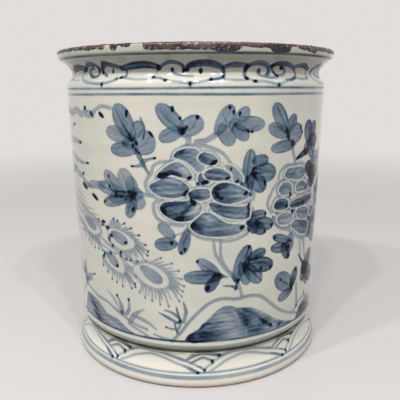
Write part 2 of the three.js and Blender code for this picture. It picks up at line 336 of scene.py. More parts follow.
def lay(sheet, box, field, tones, reserve=0.0, rim=0.2, vein=0.0):
    """One brush stroke. Its tone goes evenly from the first of tones to the last, times streaks that are sines
    across and along the brush, plus a darker rim that falls away as exp(-depth / 0.8) and a darker vein down the
    middle. It adds only a little to what lies under it. A reserve first leaves a line of bare glaze round it."""
    for at, x, y in under_stroke(sheet, box, REACH + reserve):
        deep, share, side = field(x, y)
        tone = tones[0] + (tones[-1] - tones[0]) * np.clip(share, 0, 1)
        phase = box[0] * 1.7 + box[2] * 0.9
        streak = np.sin(side * 1.7 + phase) + 0.8 * np.sin(side * 3.3 + 2 * phase + share * 3)
        streak += 0.5 * np.sin(side * 5.3 + 3 * phase - share * 4)
        pool = rim * np.exp(-np.maximum(deep, 0) / RIM_WIDTH) + 0.1 * np.sin(share * 5 + phase)
        pool += vein * np.exp(-((side + 0.5 * np.sin(share * 4 + phase)) / RIM_WIDTH) ** 2) * (1.15 - share)
        wash = tone * (0.86 + 0.085 * streak + pool)
        if reserve:
            clear = 1 - smooth(-reserve - 0.5, -reserve + 0.4, deep)
            sheet["ink"][at] *= clear
            sheet["spread"][at] *= clear
            sheet["edge"][at] = np.minimum(sheet["edge"][at], -(deep + reserve))
        for layer, low, high in LAYERS:
            new = np.clip(wash, 0, 1) * smooth(low, high, deep)
            old = sheet[layer][at]
            sheet[layer][at] = np.maximum(old, new) + UNDER * np.minimum(old, new)
        sheet["edge"][at] = np.maximum(sheet["edge"][at], deep)


def tint(sheet, at, change):
    """Darkens or thins the blue that is already there, and leaves bare glaze bare."""
    for layer, _, _ in LAYERS:
        old = sheet[layer][at]
        sheet[layer][at] = np.clip(old + change * smooth(0.03, 0.2, old), 0.04 * (old > 0.04), 1.05)


def around(points):
    """The smallest box, in degrees and millimetres, that holds a stroke's points."""
    p = np.array(points, float)
    return p[:, 0].min(), p[:, 0].max(), p[:, 1].min(), p[:, 1].max()


def placed(points, turn=0.0, flip=False, lift=0.0):
    """A stroke's points moved round by turn and up by lift, and mirrored about the place they turn to."""
    p = np.array(points, float).reshape(-1, 2)
    side = -1 if flip else 1
    return np.stack([side * p[:, 0] + turn, p[:, 1] + lift], 1)


def in_mm(points):
    """Degrees and millimetres as millimetres both ways."""
    return np.array(points, float) * (MM_PER_DEGREE, 1)


def grown(points, by):
    """The points of a closed path, each moved `by` mm straight away from the path's middle."""
    points = np.array(points, float)
    away = in_mm(points - points.mean(axis=0))
    return points + by * away / np.hypot(*away.T)[:, None] / (MM_PER_DEGREE, 1)


def several(value):
    """A tuple as it is, and a single number as a tuple of one."""
    return value if isinstance(value, tuple) else (value,)


def half_widths(width, at_ends):
    """Half of each width that a brushed line goes through. A single width is at_ends of itself at both ends."""
    widths = width if isinstance(width, tuple) else (width * at_ends, width, width * at_ends)
    return [w / 2 for w in widths]


# Each row of a table below is what the function that draws it takes, and the points in it are pairs of a turn in
# degrees and a height.


def petals(sheet, rows, root=0.0, **move):
    """Strokes of one press of a full brush: base, tip, half width, tone or the two tones at base and tip. The
    root is how far the stroke starts behind its base, as a share of its length."""
    for x0, y0, x1, y1, half, *tones in rows:
        x0, y0 = x0 - root * (x1 - x0), y0 - root * (y1 - y0)
        ends = placed([(x0, y0), (x1, y1)], **move)
        (a, b), (c, d) = in_mm(ends)
        lo, hi, bottom, top = around(ends)
        box = (lo - half / 2, hi + half / 2, bottom - half, top + half)
        lay(sheet, box, lambda x, y: petal_field(x, y, (a, b, c, d, half)), tones, rim=0.42, vein=0.26)


def lines(sheet, rows, rim=0.12, **move):
    """Lines drawn with the tip of the brush: width or the widths along it, tone or the two tones, then the points."""
    for width, tone, *points in rows:
        half = half_widths(width, at_ends=0.8)
        path = smooth_path(placed(points, **move))
        walked = in_mm(path)
        lay(sheet, around(path), lambda x, y: line_field(x, y, walked, half), several(tone), rim=rim)


def wet_lines(sheet, rows, soft=1.3, **move):
    """Lines drawn into a wash while it was wet: width or the widths along it, how much darker or paler they make
    it, then the points. The change fades in from soft mm outside the line to soft mm inside it."""
    for width, change, *points in rows:
        half = half_widths(width, at_ends=0.6)
        path = smooth_path(placed(points, **move))
        for at, x, y in under_stroke(sheet, around(path), REACH):
            deep = line_field(x, y, in_mm(path), half)[0]
            tint(sheet, at, change * smooth(-soft, soft, deep))


def clouds(sheet, rows, **move):
    """Soft places in a wash: place, half width, half height, lean, and how much darker or paler they are. The
    change falls away as exp(-1.1 r^2), with r = 1 at half the width and half the height."""
    for x0, y0, wide, high, lean, change in rows:
        x0, y0 = placed([(x0, y0)], **move)[0]
        reach = 2 * max(wide, high)
        g = math.radians(lean * (-1 if move.get("flip") else 1))
        for at, x, y in under_stroke(sheet, (x0 - reach / 2, x0 + reach / 2, y0 - reach, y0 + reach), 0):
            dx, dy = x - x0 * MM_PER_DEGREE, y - y0
            u, v = dx * math.cos(g) - dy * math.sin(g), dx * math.sin(g) + dy * math.cos(g)
            tint(sheet, at, change * np.exp(-1.1 * ((u / wide) ** 2 + (v / high) ** 2)))


def patches(sheet, rows, reserve=0.0, **move):
    """Washes filled in round a closed outline: tone or two tones from left to right, brush angle, outline."""
    for tone, grain, *points in rows:
        path = smooth_path(placed(points, **move), closed=True)
        walked = in_mm(path)
        lay(sheet, around(path), lambda x, y: patch_field(x, y, walked, grain), several(tone), reserve)


def dots(sheet, rows, **move):
    """Touches of the brush's tip: place, half width, half height, lean in degrees from upright, tone."""
    for x, y, wide, high, lean, tone in rows:
        dx, dy = math.sin(math.radians(lean)) * high / MM_PER_DEGREE, math.cos(math.radians(lean)) * high
        petals(sheet, [(x - dx, y - dy, x + dx, y + dy, wide, tone)], **move)


# Leaves and small flowers.
LEAF_PETALS = [
    # upper row, from the left
    (-24.5, 209, -31.2, 233.3, 8.2, 0.5),
    (-25.2, 208, -36.3, 213, 6.2, 0.46),
    (-23.4, 199, -34.3, 198.3, 5.6, 0.52),
    (-23.9, 207.5, -20.6, 221, 5, 0.5),
    (-23.2, 202, -15, 207.5, 9.3, 0.44),
    (-28, 204, -21.6, 203.4, 4.4, 0.5),
    (-5.2, 214.5, -14, 233.3, 6.6, 0.5),
    (-5.2, 214.5, -13.5, 207.6, 5.4, 0.5),
    (-5.2, 213.5, 2.4, 222.5, 7.3, 0.43),
    (7.8, 213.5, 13.2, 232.8, 5.8, 0.44),
    (9, 217, 13.3, 203, 6, 0.46),
    (14.5, 219, 19.2, 231, 4.8, 0.42),
    (13.5, 219, 26.2, 218, 6, 0.44),
    (14, 217, 19.3, 206.8, 5, 0.48),
    (36.5, 213, 30.3, 233.6, 6.6, 0.57),
    (37, 209, 27.8, 216.2, 5.6, 0.5),
    (41, 200.8, 29.2, 198.6, 4.9, 0.54),
    (37.6, 211, 41.8, 224.6, 5, 0.58),
    (38, 208, 46.6, 211, 8, 0.54),
    # between the upper row and the large flowers
    (19.9, 167.5, 20.6, 199.4, 6, 0.58),
    (22, 190.3, 28.4, 190, 4.8, 0.6),
    (22.3, 181, 32.1, 179.6, 7.5, 0.68),
    (21.3, 179, 26.8, 165.6, 6.5, 0.64),
    (52, 202, 51.3, 219.5, 7, 0.74),
    (54, 204, 58.2, 217.5, 6, 0.74),
    (54, 203, 61.2, 201, 6.2, 0.76),
    (53, 201, 58.4, 188.3, 7, 0.76),
    (52.3, 201, 49.8, 190.5, 5, 0.78),
    (57.4, 172, 51.4, 183, 6, 0.68),
    (57, 173, 58, 185, 6.4, 0.68),
    (54.4, 174, 63.4, 171, 7, 0.7),
    (57, 174, 57.6, 160.4, 7, 0.68),
    (56, 170, 62.4, 164, 5, 0.68),
    # left of the large flower
    (-30.4, 163, -38.4, 180.4, 6.2, 0.42),
    (-25.6, 164, -29.8, 183.8, 7.2, 0.4),
    (-24, 164, -26.2, 178, 5, 0.4),
    (-30, 164.4, -43, 168, 5.6, 0.43),
    (-26, 161, -36.6, 158.6, 5.6, 0.46),
    (-28, 160, -40, 153.4, 5, 0.48),
    (-24.6, 160.6, -27.4, 144, 5, 0.56),
    (-26.4, 164.6, -20.4, 163.6, 5, 0.46),
    (-24.6, 162, -20.4, 153.6, 6, 0.38),
    # below the large flower, left
    (-9, 131.5, -14.7, 141, 4.5, 0.45),
    (-8.3, 125.6, -16.4, 124, 5.5, 0.58),
    (-3.5, 135, -6, 116.6, 4.4, 0.58),
    (8, 100.5, 0.3, 112.6, 4.6, 0.5),
    (8.6, 98, -5.2, 97.4, 6, 0.58),
    (8.4, 98.5, 3.5, 85, 4.6, 0.76),
    # below the large flower, right
    (21, 145.8, 28.2, 147, 4, 0.7),
    (24, 140.3, 31.7, 136.5, 5.5, 0.72),
    (21, 141, 27.8, 130.8, 5, 0.7),
    (20.1, 141, 24.1, 132, 4, 0.74),
    (15.6, 96, 20.9, 122.4, 6.2, 0.62),
    (21, 111, 28.6, 115.4, 4.6, 0.68),
    (20, 106, 32.6, 101.8, 6.8, 0.72),
    (19.5, 104, 26.8, 88.6, 6, 0.64),
    (17.6, 106, 20.6, 88, 4.7, 0.55),
    (42, 118.5, 31.8, 126, 3.8, 0.68),
    (41, 113.5, 31, 116.2, 4.6, 0.68),
    (37.5, 116, 41.7, 103.6, 4.6, 0.72),
    (42.2, 124, 42.4, 109, 5, 0.5),
    (44.2, 76, 34.3, 89.8, 8.4, 0.58),
    (44.6, 76, 47.8, 92, 5, 0.78),
    (44.6, 72.5, 36.2, 67.6, 4.6, 0.64),
    (59, 88, 52, 77, 7, 0.66),
    (54, 84, 62.6, 101, 7.4, 0.68),
    (55, 85, 66.6, 73, 8, 0.68),
    (57.5, 87, 51.8, 88, 6, 0.68),
    (56, 80, 61, 70.4, 6, 0.66),
    (57, 136, 65.2, 107.8, 8, 0.74),
    (57, 140, 66, 128, 7, 0.72),
    (57, 128, 58.4, 114, 6, 0.7),
]

# Dark veins brushed into the wet leaves: width, how dark they look, points.
LEAF_VEINS = [
    (1.4, 0.72, (-28.2, 218.5), (-25.7, 211.7), (-24.6, 205)),
    (1.1, 0.6, (-31, 229), (-27.5, 217), (-24.6, 208)),
    (1.1, 0.58, (-34, 214), (-28, 211), (-24.5, 206)),
    (1, 0.6, (-32, 199.5), (-27, 202.5), (-24, 201)),
    (1, 0.5, (-17, 209), (-20, 202), (-23, 199.5)),
    (1.1, 0.66, (-13, 230.5), (-9.5, 221.5), (-5.2, 215)),
    (1.1, 0.6, (-12, 210.5), (-8.5, 214), (-5.2, 215)),
    (1, 0.6, (0.6, 224), (-1.4, 216.5), (-4.2, 213)),
    (1.1, 0.62, (9.6, 226), (11, 219.5), (9, 212)),
    (1.1, 0.62, (19.3, 222), (14.5, 219.6), (12.6, 213)),
    (1, 0.55, (25, 218.6), (19, 214), (14, 216.5)),
    (1.2, 0.72, (31.5, 231), (34.6, 222), (38, 209.5)),
    (1.1, 0.66, (29.6, 216), (34, 214), (38, 208)),
    (1.1, 0.66, (31, 199.5), (36, 204.5), (40, 205)),
    (1.6, 0.78, (35.4, 227.2), (36.6, 222), (36.6, 218)),
    (1.1, 0.66, (41.5, 222), (39.3, 215), (38.4, 206)),
    (1.1, 0.75, (20.4, 198), (19.2, 184), (19.8, 169)),
    (1.1, 0.8, (31, 180), (26, 182.6), (22, 184)),
    (1.1, 0.8, (26.8, 167.5), (23.6, 174.5), (22, 181)),
    (1, 0.62, (-37, 178), (-34.5, 170), (-32, 164)),
    (1, 0.58, (-29.5, 181), (-28, 172), (-27, 164)),
    (1.6, 0.72, (-39.8, 154.6), (-35, 159.5), (-30.5, 160.5), (-26, 162.5)),
    (1.4, 0.7, (-42, 168.8), (-36, 164.8), (-29, 165.4), (-21, 165.8)),
    (1.2, 0.72, (-27.6, 147), (-26.2, 156), (-25, 163)),
    (1, 0.7, (-15.8, 124.6), (-10.5, 126.8), (-7.8, 125.6)),
    (1, 0.66, (-5.8, 118), (-5, 126), (-3.6, 133.5)),
    (1, 0.72, (-4.6, 98), (1.6, 99.6), (8, 98.6)),
    (1, 0.68, (1, 111), (4.6, 104.2), (8, 99.6)),
    (1.2, 0.85, (21, 121), (19.6, 112), (18.6, 100)),
    (1.2, 0.9, (31.6, 102.4), (25.6, 106), (20.4, 106)),
    (1.2, 0.86, (26.6, 90), (23.6, 97), (20.2, 104.6)),
    (1.2, 0.84, (28.3, 114.6), (24.4, 111.6), (21, 108)),
    (1.4, 0.9, (41.8, 104), (40.2, 111), (38.6, 118.5)),
    (1, 0.8, (31.4, 116.4), (36.4, 116), (41.6, 119)),
    (1.1, 0.76, (35.2, 88), (40, 81.4), (44.8, 75)),
    (1.1, 0.9, (47.6, 90.6), (46, 83), (45, 75)),
    (1.2, 0.9, (53, 76), (55.6, 82.6), (58, 86)),
    (1.2, 0.9, (62, 99), (60, 92), (57.6, 85.6)),
    (1.2, 0.88, (65.6, 74), (61.6, 80.4), (57.6, 85)),
    (1.2, 0.86, (52.6, 203), (55.6, 205.4), (60.4, 202.6)),
    (1.2, 0.9, (51.6, 218), (52.4, 210), (52.6, 202)),
    (1.2, 0.9, (58, 190), (55.4, 196), (52.8, 202)),
]

# Twigs and stalks.
TWIGS = [
    ((0.8, 1.6, 1.8), 0.74, (-20.5, 223.8), (-19, 216), (-19.6, 208)),
    ((4.6, 3.4, 2), 0.6, (-22.3, 197.5), (-20.3, 189.5), (-17.9, 180.8)),
    ((3.4, 2.2, 1), 0.5, (-19.9, 187.8), (-22.6, 186.4), (-25.2, 186.2)),
    ((3.2, 2.2, 1.2), 0.5, (-20.1, 190.4), (-17.6, 192.2), (-15, 193.3)),
    ((4.4, 4.2, 3.4), 0.36, (-4.2, 211), (-2.6, 208), (-3.3, 203)),
    ((4.6, 4, 3), 0.4, (8.2, 212.6), (4, 207.4), (0, 206.3)),
    ((3.6, 3.6, 3), 0.36, (40.4, 198.3), (42.1, 190.6), (42.9, 185.6)),
    ((1.6, 4.6, 6.2), 0.9, (44, 188), (46.4, 190.4), (50.6, 193.2)),
    ((3.2, 3.2, 2.2), 0.33, (-20.2, 164.4), (-16.5, 163.3)),
    ((1, 1.8, 1.4), 0.36, (-9, 132), (-5.4, 134.8), (-3.2, 139.8)),
    ((3, 2.6, 1), 0.55, (8.6, 98.6), (10.6, 97.6), (12.2, 96.8)),
    ((1, 1.8, 3.4), 0.72, (10.4, 89.4), (13.4, 88.8), (15.6, 87)),
    ((0.8, 1.4, 2.6), 0.8, (15.2, 84.4), (15.8, 88.4), (16, 91)),
    ((3.6, 3.8, 4.2), 0.38, (48.6, 75.5), (49.4, 64), (49.6, 53)),
    ((1, 2.6, 3.4), 0.88, (48.6, 103.2), (50.6, 98.8), (53, 93.4), (55.6, 88.6)),
]

# Loaded touches over the leaves.
LEAF_TOUCHES = [
    (-26.2, 226.5, 1.35, 3.06, 4, 0.91),
    (-16.5, 211.2, 1.17, 3.06, -38, 0.93),
    (-22.5, 204.2, 1.35, 1.98, -14, 0.88),
    (-23.9, 202.4, 1.08, 1.62, 0, 0.88),
    (-21.6, 196.8, 0.72, 1.98, -80, 0.76),
    (-24.6, 186.2, 0.9, 1.44, 90, 0.83),
    (-15.4, 193.3, 0.9, 1.35, 90, 0.78),
    (-8.4, 230, 1.26, 2.52, 2, 0.88),
    (0.5, 224.1, 1.35, 1.8, -10, 0.91),
    (-5.7, 223.4, 1.08, 1.44, 0, 0.76),
    (-4.7, 214, 1.7, 2.8, 16, 0.88),
    (-3.4, 216.6, 1.08, 1.62, 10, 0.78),
    (12.1, 231, 1.26, 1.53, 0, 0.88),
    (13.5, 227.6, 0.99, 1.62, 0, 0.82),
    (15.9, 226.3, 1.08, 1.8, 10, 0.84),
    (19.2, 213.3, 0.99, 1.8, -40, 0.83),
    (20.8, 212.6, 0.99, 1.26, 0, 0.88),
    (45.4, 214, 1.08, 2.16, 12, 0.93),
    (46.6, 209.8, 1.08, 1.62, 0, 0.9),
    (40.6, 201.6, 1.44, 2.7, 10, 0.91),
    (38.2, 206.6, 1.35, 1.8, 0, 0.83),
    (27, 172, 1.17, 2.52, -10, 0.88),
    (19.2, 176, 1.08, 3.24, 6, 0.82),
    (21.8, 183.6, 1.26, 2.16, 30, 0.84),
    (44.8, 189.2, 1.44, 2.88, 66, 0.95),
    (-24.6, 164, 1.26, 3.06, 84, 0.95),
    (-26.6, 165.6, 0.9, 1.5, -50, 0.82),
    (-25, 151.4, 1.53, 2.34, 24, 0.95),
    (-33, 162, 1, 3, 22, 0.84),
    (-36.2, 176.3, 0.99, 1.44, 0, 0.78),
    (-36, 168, 1.17, 1.53, 0, 0.9),
    (-28.2, 159, 0.9, 2, 60, 0.76),
    (-39.4, 154.4, 1.08, 1.62, 70, 0.83),
    (-9.6, 126.2, 1.44, 1.8, 0, 0.95),
    (-4.5, 121, 1.17, 1.98, 14, 0.93),
    (-6, 118.4, 0.99, 1.44, 0, 0.9),
    (7, 99, 1.35, 1.98, 60, 0.9),
    (4.3, 88.2, 1.8, 2.7, 14, 0.93),
    (0.2, 111.2, 1.08, 1.53, 20, 0.78),
    (27.7, 146.5, 0.99, 1.35, 0, 0.9),
    (30.9, 136.3, 1.17, 1.53, 0, 0.93),
    (27.7, 131.4, 1.08, 1.35, 0, 0.91),
    (24.5, 139.2, 1.4, 1.8, 0, 0.84),
    (20.4, 134.6, 0.9, 1.44, 0, 0.78),
    (16.4, 93, 1.5, 1.8, 20, 0.84),
    (26.5, 100.4, 1.17, 1.71, 20, 0.93),
    (31.2, 99.6, 1.26, 1.71, 10, 0.93),
    (20.8, 106, 1.1, 1.9, 10, 0.86),
    (20.7, 120.4, 1.08, 1.62, 0, 0.83),
    (41.3, 105, 1.44, 2.16, -10, 0.95),
    (33, 124.6, 1.08, 1.35, 0, 0.83),
    (37.3, 85.6, 1.26, 1.26, 0, 0.88),
    (45, 75.2, 1.62, 2.34, 0, 0.91),
    (47.2, 89.4, 1.35, 1.98, 0, 0.9),
    (49.7, 54, 1.08, 1.44, 0, 0.78),
    (53.4, 77.4, 1.44, 1.8, 0, 0.91),
    (57.8, 86, 1.5, 2, 0, 0.88),
    (56.7, 61.8, 1.44, 1.08, 90, 0.93),
    (59.5, 55.6, 1.08, 1.08, 0, 0.91),
]

# The large flower: pale outer lines, then petals as closed outlines, each with bare glaze left round it, then
# what was worked into them while they were wet.
GREAT_OUTLINES = [
    (2.8, 0.3, (-9.5, 188), (-8.6, 196), (-4.6, 202.4), (1, 203.4), (5.6, 201.4), (9.6, 197), (12.4, 190),
     (13.6, 185)),
    (2.8, 0.3, (-9, 191), (-13, 190.5), (-16, 187), (-17, 181), (-19.3, 174), (-18.6, 166.5), (-15, 161.5)),
    (3, 0.33, (-13, 160.5), (-16, 158), (-16.3, 152), (-15, 146), (-11, 142), (-5, 140.6)),
    (2.6, 0.3, (13, 185), (17, 177), (20.4, 170), (22.4, 163), (21.4, 159), (18, 157.5)),
    (2.6, 0.3, (20.8, 155), (22.2, 150), (21, 145.5)),
    (2.8, 0.3, (-3, 138), (0, 132), (4, 129.4), (8, 128.4), (12, 127), (16, 128.4), (20, 132)),
]
GREAT_PETALS = [
    ((0.4, 0.38), -30, (10.4, 188.4), (13.4, 187), (16, 182.4), (17.6, 177), (16.8, 173.6), (14.2, 174.6),
     (13.2, 179), (11.4, 183.6)),
    ((0.58, 0.44), 30, (-8.2, 194.6), (-7.4, 198), (-5, 200.4), (-2.4, 201.3), (0.2, 200.2), (1.4, 197),
     (2.2, 191.6), (3.2, 187), (2.4, 184), (0.4, 183.2), (-1.4, 187), (-3.6, 191), (-6.2, 193)),
    ((0.7, 0.64), -20, (0.8, 195), (2.4, 197.8), (5, 197), (7, 194.4), (7.8, 190.8), (6.6, 188.4), (4.4, 188.4),
     (2.2, 190), (1, 192)),
    ((0.68, 0.68), 10, (0.6, 178.2), (1.2, 181.6), (3.2, 182), (5.2, 178), (5.2, 174.8), (3, 173.6), (1, 175.4)),
    ((0.64, 0.6), -10, (2.8, 181.6), (4.6, 184.8), (8, 185.6), (11, 183.2), (12.9, 179.2), (11.6, 176.6), (8.4, 176),
     (5.2, 176.6), (3.4, 178.6)),
    ((0.66, 0.42), 20, (-14.6, 180.2), (-13.2, 183.6), (-11.2, 187), (-9, 189.6), (-6.6, 190.4), (-4.4, 188.2),
     (-2.6, 184.4), (-1.6, 180.6), (-1.8, 178), (-4.2, 178.2), (-6.6, 179.4), (-9.3, 180.6), (-11.4, 178.6),
     (-13.8, 178)),
    ((0.66, 0.6), 4, (-17.8, 171.4), (-15, 175.2), (-12, 177.8), (-9.4, 178.8), (-6.4, 177.2), (-4, 173.8),
     (-2.5, 170.4), (-3, 166.6), (-5.4, 163.8), (-8.6, 162.6), (-13, 163.2), (-16.6, 167)),
    ((0.7, 0.66), 0, (-3.2, 165.6), (-1.6, 168.8), (1.2, 170), (4.2, 169.4), (5.4, 166), (4.6, 162.4), (1.6, 160.6),
     (-1.4, 161.4)),
    ((0.74, 0.58), -4, (5.6, 168.4), (7.2, 172.6), (10, 174.4), (13.4, 173.2), (16.6, 170.4), (19.4, 167),
     (20.8, 163.8), (18.8, 160.4), (15.6, 158.4), (12, 157.4), (8.6, 158.6), (6.2, 162.6)),
    ((0.82, 0.5), 14, (-13.9, 154), (-12.7, 158.2), (-9, 159.8), (-5, 160.4), (-1.2, 160.8), (1.4, 158.4),
     (2.2, 155.2), (1.5, 151.2), (-0.6, 146.8), (-3.4, 144.4), (-7, 144.1), (-10.2, 146.4), (-12.8, 150)),
    ((0.7, 0.62), -8, (4.6, 158.4), (6.4, 159), (9.4, 157), (13, 155.4), (17, 154.6), (20.6, 154), (20.8, 149),
     (20, 144.7), (16, 144.5), (12, 146), (8.4, 149), (5.8, 152.8)),
    ((0.68, 0.62), 6, (-2.4, 141), (-0.6, 145.4), (1.2, 148.6), (2.8, 151), (5.6, 150), (8, 146.6), (10.4, 143.2),
     (13, 141), (16.4, 140.2), (18.8, 138.6), (18.9, 136.2), (16.6, 133.2), (13.6, 131.6), (8.6, 131.2), (4, 132),
     (1, 133.8), (-1.4, 136.8)),
]
GREAT_STROKES = [
    ((3.4, 5.2, 3), 0.5, (-13.6, 179.8), (-11.4, 180.2), (-9, 182.2), (-6, 180.4)),
    (1.6, 0.2, (-12, 184), (-9, 187.4), (-6.6, 186)),
    (2.4, -0.2, (-6.4, 186), (-4.4, 184.6), (-2.6, 180.6)),
    ((2, 5, 2), 0.3, (-7.8, 195), (-6.4, 197.4), (-4.4, 199.6)),
    (1.3, 0.24, (-5.6, 197.4), (-2.6, 197.6), (0.8, 195)),
    (1.3, 0.2, (-5, 194.6), (-2, 194.4), (1.2, 190)),
    (1.4, 0.16, (-3, 191.4), (-0.8, 189.6), (1, 185.6)),
    (1.6, -0.14, (-3.6, 196), (-0.6, 195.4), (1.6, 191.6)),
    (2.4, 0.2, (-17.2, 171.4), (-12, 173.6), (-7, 173)),
    (1.5, 0.16, (-16, 168.6), (-10, 169.8), (-4.4, 170.4)),
    (1.6, -0.16, (-14.6, 170.4), (-10, 171.4), (-6, 171.4)),
    (1.8, -0.14, (-13, 166.4), (-9, 166.6), (-5.6, 168)),
    (1.6, 0.14, (-13.6, 164.8), (-9, 164.4), (-5, 166)),
    (2.4, -0.16, (-11.4, 176.2), (-8.6, 176.4), (-5.6, 174.2)),
    ((5, 8, 4), 0.1, (-12.8, 154), (-9.8, 149.6), (-5.6, 146.2), (-1.6, 146.6)),
    ((3, 5, 2), 0.14, (-12, 157), (-8, 158), (-3.4, 157.4)),
    ((2, 3.4, 1.4), 0.26, (-5.2, 150.6), (-3.2, 154), (-1.6, 158)),
    ((2, 3, 2), -0.2, (-3.4, 149.6), (-0.8, 152.6), (0.8, 156.6)),
    ((2, 3, 2), -0.1, (-10.6, 154), (-7.6, 152.6), (-5.4, 154.6)),
    ((2, 4.6, 3), 0.22, (6.2, 167), (8.2, 170.6), (11.6, 171.6)),
    (2.2, 0.18, (8.6, 161.6), (13, 160.4), (17.6, 163)),
    (1.4, 0.14, (10.6, 166.6), (14, 167), (18.6, 165.6)),
    (2.6, -0.2, (9.6, 168.8), (13, 169.4), (16.6, 166.6)),
    (2, -0.18, (13, 163.4), (16.4, 163.2), (19, 163.6)),
    ((2, 3.4, 2), 0.2, (-2.2, 165.4), (-0.4, 163.4), (2.4, 162.8)),
    (1.4, 0.16, (0.4, 168.4), (0.8, 165), (0.2, 162)),
    (1.6, 0.2, (5.6, 157.2), (11.6, 154), (18, 151.6)),
    (1.4, -0.16, (9.6, 155.4), (13.6, 153.4), (19, 152.6)),
    (1.4, 0.14, (7.4, 153.6), (13, 149.8), (18.6, 148.2)),
    (2.4, -0.2, (11, 149.6), (14, 147.4), (18, 146.8)),
    ((2.6, 3, 2.2), 0.4, (20.2, 153.2), (20.4, 150), (20, 146)),
    ((4, 5, 2.4), 0.14, (-1.8, 141.6), (0.2, 139), (2, 134.8)),
    (2, 0.14, (0.6, 140.4), (5, 140), (9.6, 141.6)),
    (1.8, 0.12, (3, 144.6), (5.4, 147), (6.6, 144.6)),
    (1.6, 0.1, (5, 134.6), (10, 134), (15, 135)),
    (2.4, -0.14, (3, 138), (8, 137.4), (13, 137.6)),
    (2, -0.14, (13.6, 139.4), (15.6, 137.4), (17, 135.6)),
    (3, -0.2, (2.6, 149), (4.6, 146.4), (6.6, 145.4)),
    (1.3, 0.2, (4, 183), (8, 182.6), (11.6, 180)),
    (1.4, -0.16, (5, 180.2), (8, 179.6), (11, 178.4)),
    (1.3, 0.22, (4, 178.4), (8, 177.8), (11, 178)),
    (1.2, 0.2, (11.6, 186.4), (14.2, 181.6), (16, 175.6)),
    (1.6, 0.24, (1.4, 194.6), (3.6, 192.4), (6.4, 191.4)),
    (1.2, -0.2, (3, 196), (5, 194.6), (6.6, 192.8)),
]
GREAT_CLOUDS = [
    (-12.4, 154, 6, 8, 20, 0.08),
    (-6.6, 147, 8, 2.6, 0, 0.1),
    (0, 153.4, 4, 6, 30, -0.12),
    (-4.4, 184.6, 4, 4, 0, -0.08),
    (8, 165, 4, 6, 20, 0.07),
    (17.4, 162.6, 4, 3, 0, -0.1),
    (-0.6, 141, 5, 5, 0, 0.14),
    (8.6, 134.6, 7, 3, 0, 0.14),
    (4.4, 144.6, 4, 5, 0, -0.1),
    (5, 146.6, 5, 3.6, 0, -0.1),
    (16, 150, 8, 4, 0, -0.06),
    (-15.6, 171, 4, 4, 0, 0.06),
    (-8, 175.6, 6, 2.4, 0, -0.1),
]
GREAT_TOUCHES = [
    (-12.6, 180, 2.4, 4.4, 80, 1.0),
    (-2.6, 178.6, 1.5, 2, 60, 1.0),
    (-3.8, 167.6, 1.2, 1.7, 60, 0.97),
    (-4.4, 165.6, 1.2, 1.7, -40, 0.97),
    (-1.1, 158.8, 2, 2.6, -30, 1.0),
    (-2, 161.4, 1, 1.5, 0, 0.93),
    (6.3, 190, 1.5, 3.2, 60, 0.99),
    (11.7, 178, 1.2, 2, 80, 0.97),
    (0.5, 174, 0.9, 1.4, 80, 0.95),
    (3, 174.8, 1.6, 3, 70, 0.93),
    (15.3, 175, 1.2, 1.9, 60, 0.97),
    (12.9, 184.8, 1, 1.2, 0, 0.8),
    (17.1, 172.8, 1, 1.2, 0, 0.8),
    (7.8, 164.4, 1.5, 2.8, -34, 1.0),
    (9.4, 162.2, 1.2, 1.6, 40, 0.97),
    (18.8, 164.8, 1.5, 2.2, 50, 0.97),
    (20.8, 163.9, 0.9, 1.2, 0, 0.85),
    (-1.4, 140.6, 1.8, 2.4, 30, 0.92),
    (17.5, 137.7, 1.6, 2.2, 50, 0.98),
    (-12.4, 152.4, 1.8, 3.4, -34, 0.88),
    (-6.4, 146, 1.8, 3.6, 80, 0.98),
    (20.2, 155.6, 1, 1.6, 30, 0.9),
]

# The second large flower, at the right.
SECOND_OUTLINES = [
    (2.8, 0.3, (33.6, 174), (34.6, 180), (38, 184), (43, 183.4), (47, 184.4), (50.6, 181.6), (52.6, 177)),
    (2.8, 0.3, (37, 172.4), (33, 170), (30.2, 163), (28.6, 154), (30.6, 146)),
    (2.8, 0.32, (31.6, 143), (33, 136.4), (36.4, 131.4), (41, 128.4), (44, 123.6), (48, 119), (54, 116), (60, 120)),
]
SECOND_PETALS = [
    ((0.6, 0.56), 0, (37, 176.6), (38.6, 181), (43, 181.4), (47.4, 181), (50.6, 177), (49.4, 171.6), (44.6, 170.4),
     (41, 172.4), (38.2, 173.4)),
    ((0.54, 0.56), 0, (34, 165), (36, 169.4), (39.4, 169.6), (41.6, 165.4), (40.8, 160.4), (37, 160), (34.8, 161.6)),
    ((0.52, 0.6), 0, (44, 164), (46, 168.2), (50, 168), (53.2, 164.4), (52.4, 160.4), (48, 160), (45, 160.8)),
    ((0.8, 0.56), 0, (31.8, 152), (33.4, 156.4), (37, 156.8), (39.8, 153.4), (39.4, 148.6), (35.6, 147.4),
     (32.8, 148.6)),
    ((0.72, 0.76), 0, (40.6, 151), (43.6, 153.6), (48.2, 154.2), (53, 155.4), (57.4, 153.6), (58.2, 149.4),
     (54, 147), (47.6, 146.4), (42, 147.4)),
    ((0.58, 0.36), 0, (33.8, 140), (35.6, 143.8), (39.4, 144), (42.8, 140.6), (42.2, 135.4), (38.6, 134),
     (35, 135.8)),
    ((0.6, 0.64), -8, (45.4, 143), (48, 145.4), (52.6, 144.4), (56, 140.4), (55.4, 135.4), (50.6, 134), (47, 137)),
    ((0.66, 0.7), -8, (42.6, 131), (45, 135.6), (50, 133.6), (55, 131), (57.4, 126), (54.6, 120), (49.6, 121.6),
     (45.6, 126.4)),
    ((0.72, 0.74), 0, (56.6, 141), (59.4, 143.4), (61.6, 139.4), (60.4, 134.6), (57.6, 135.4)),
]
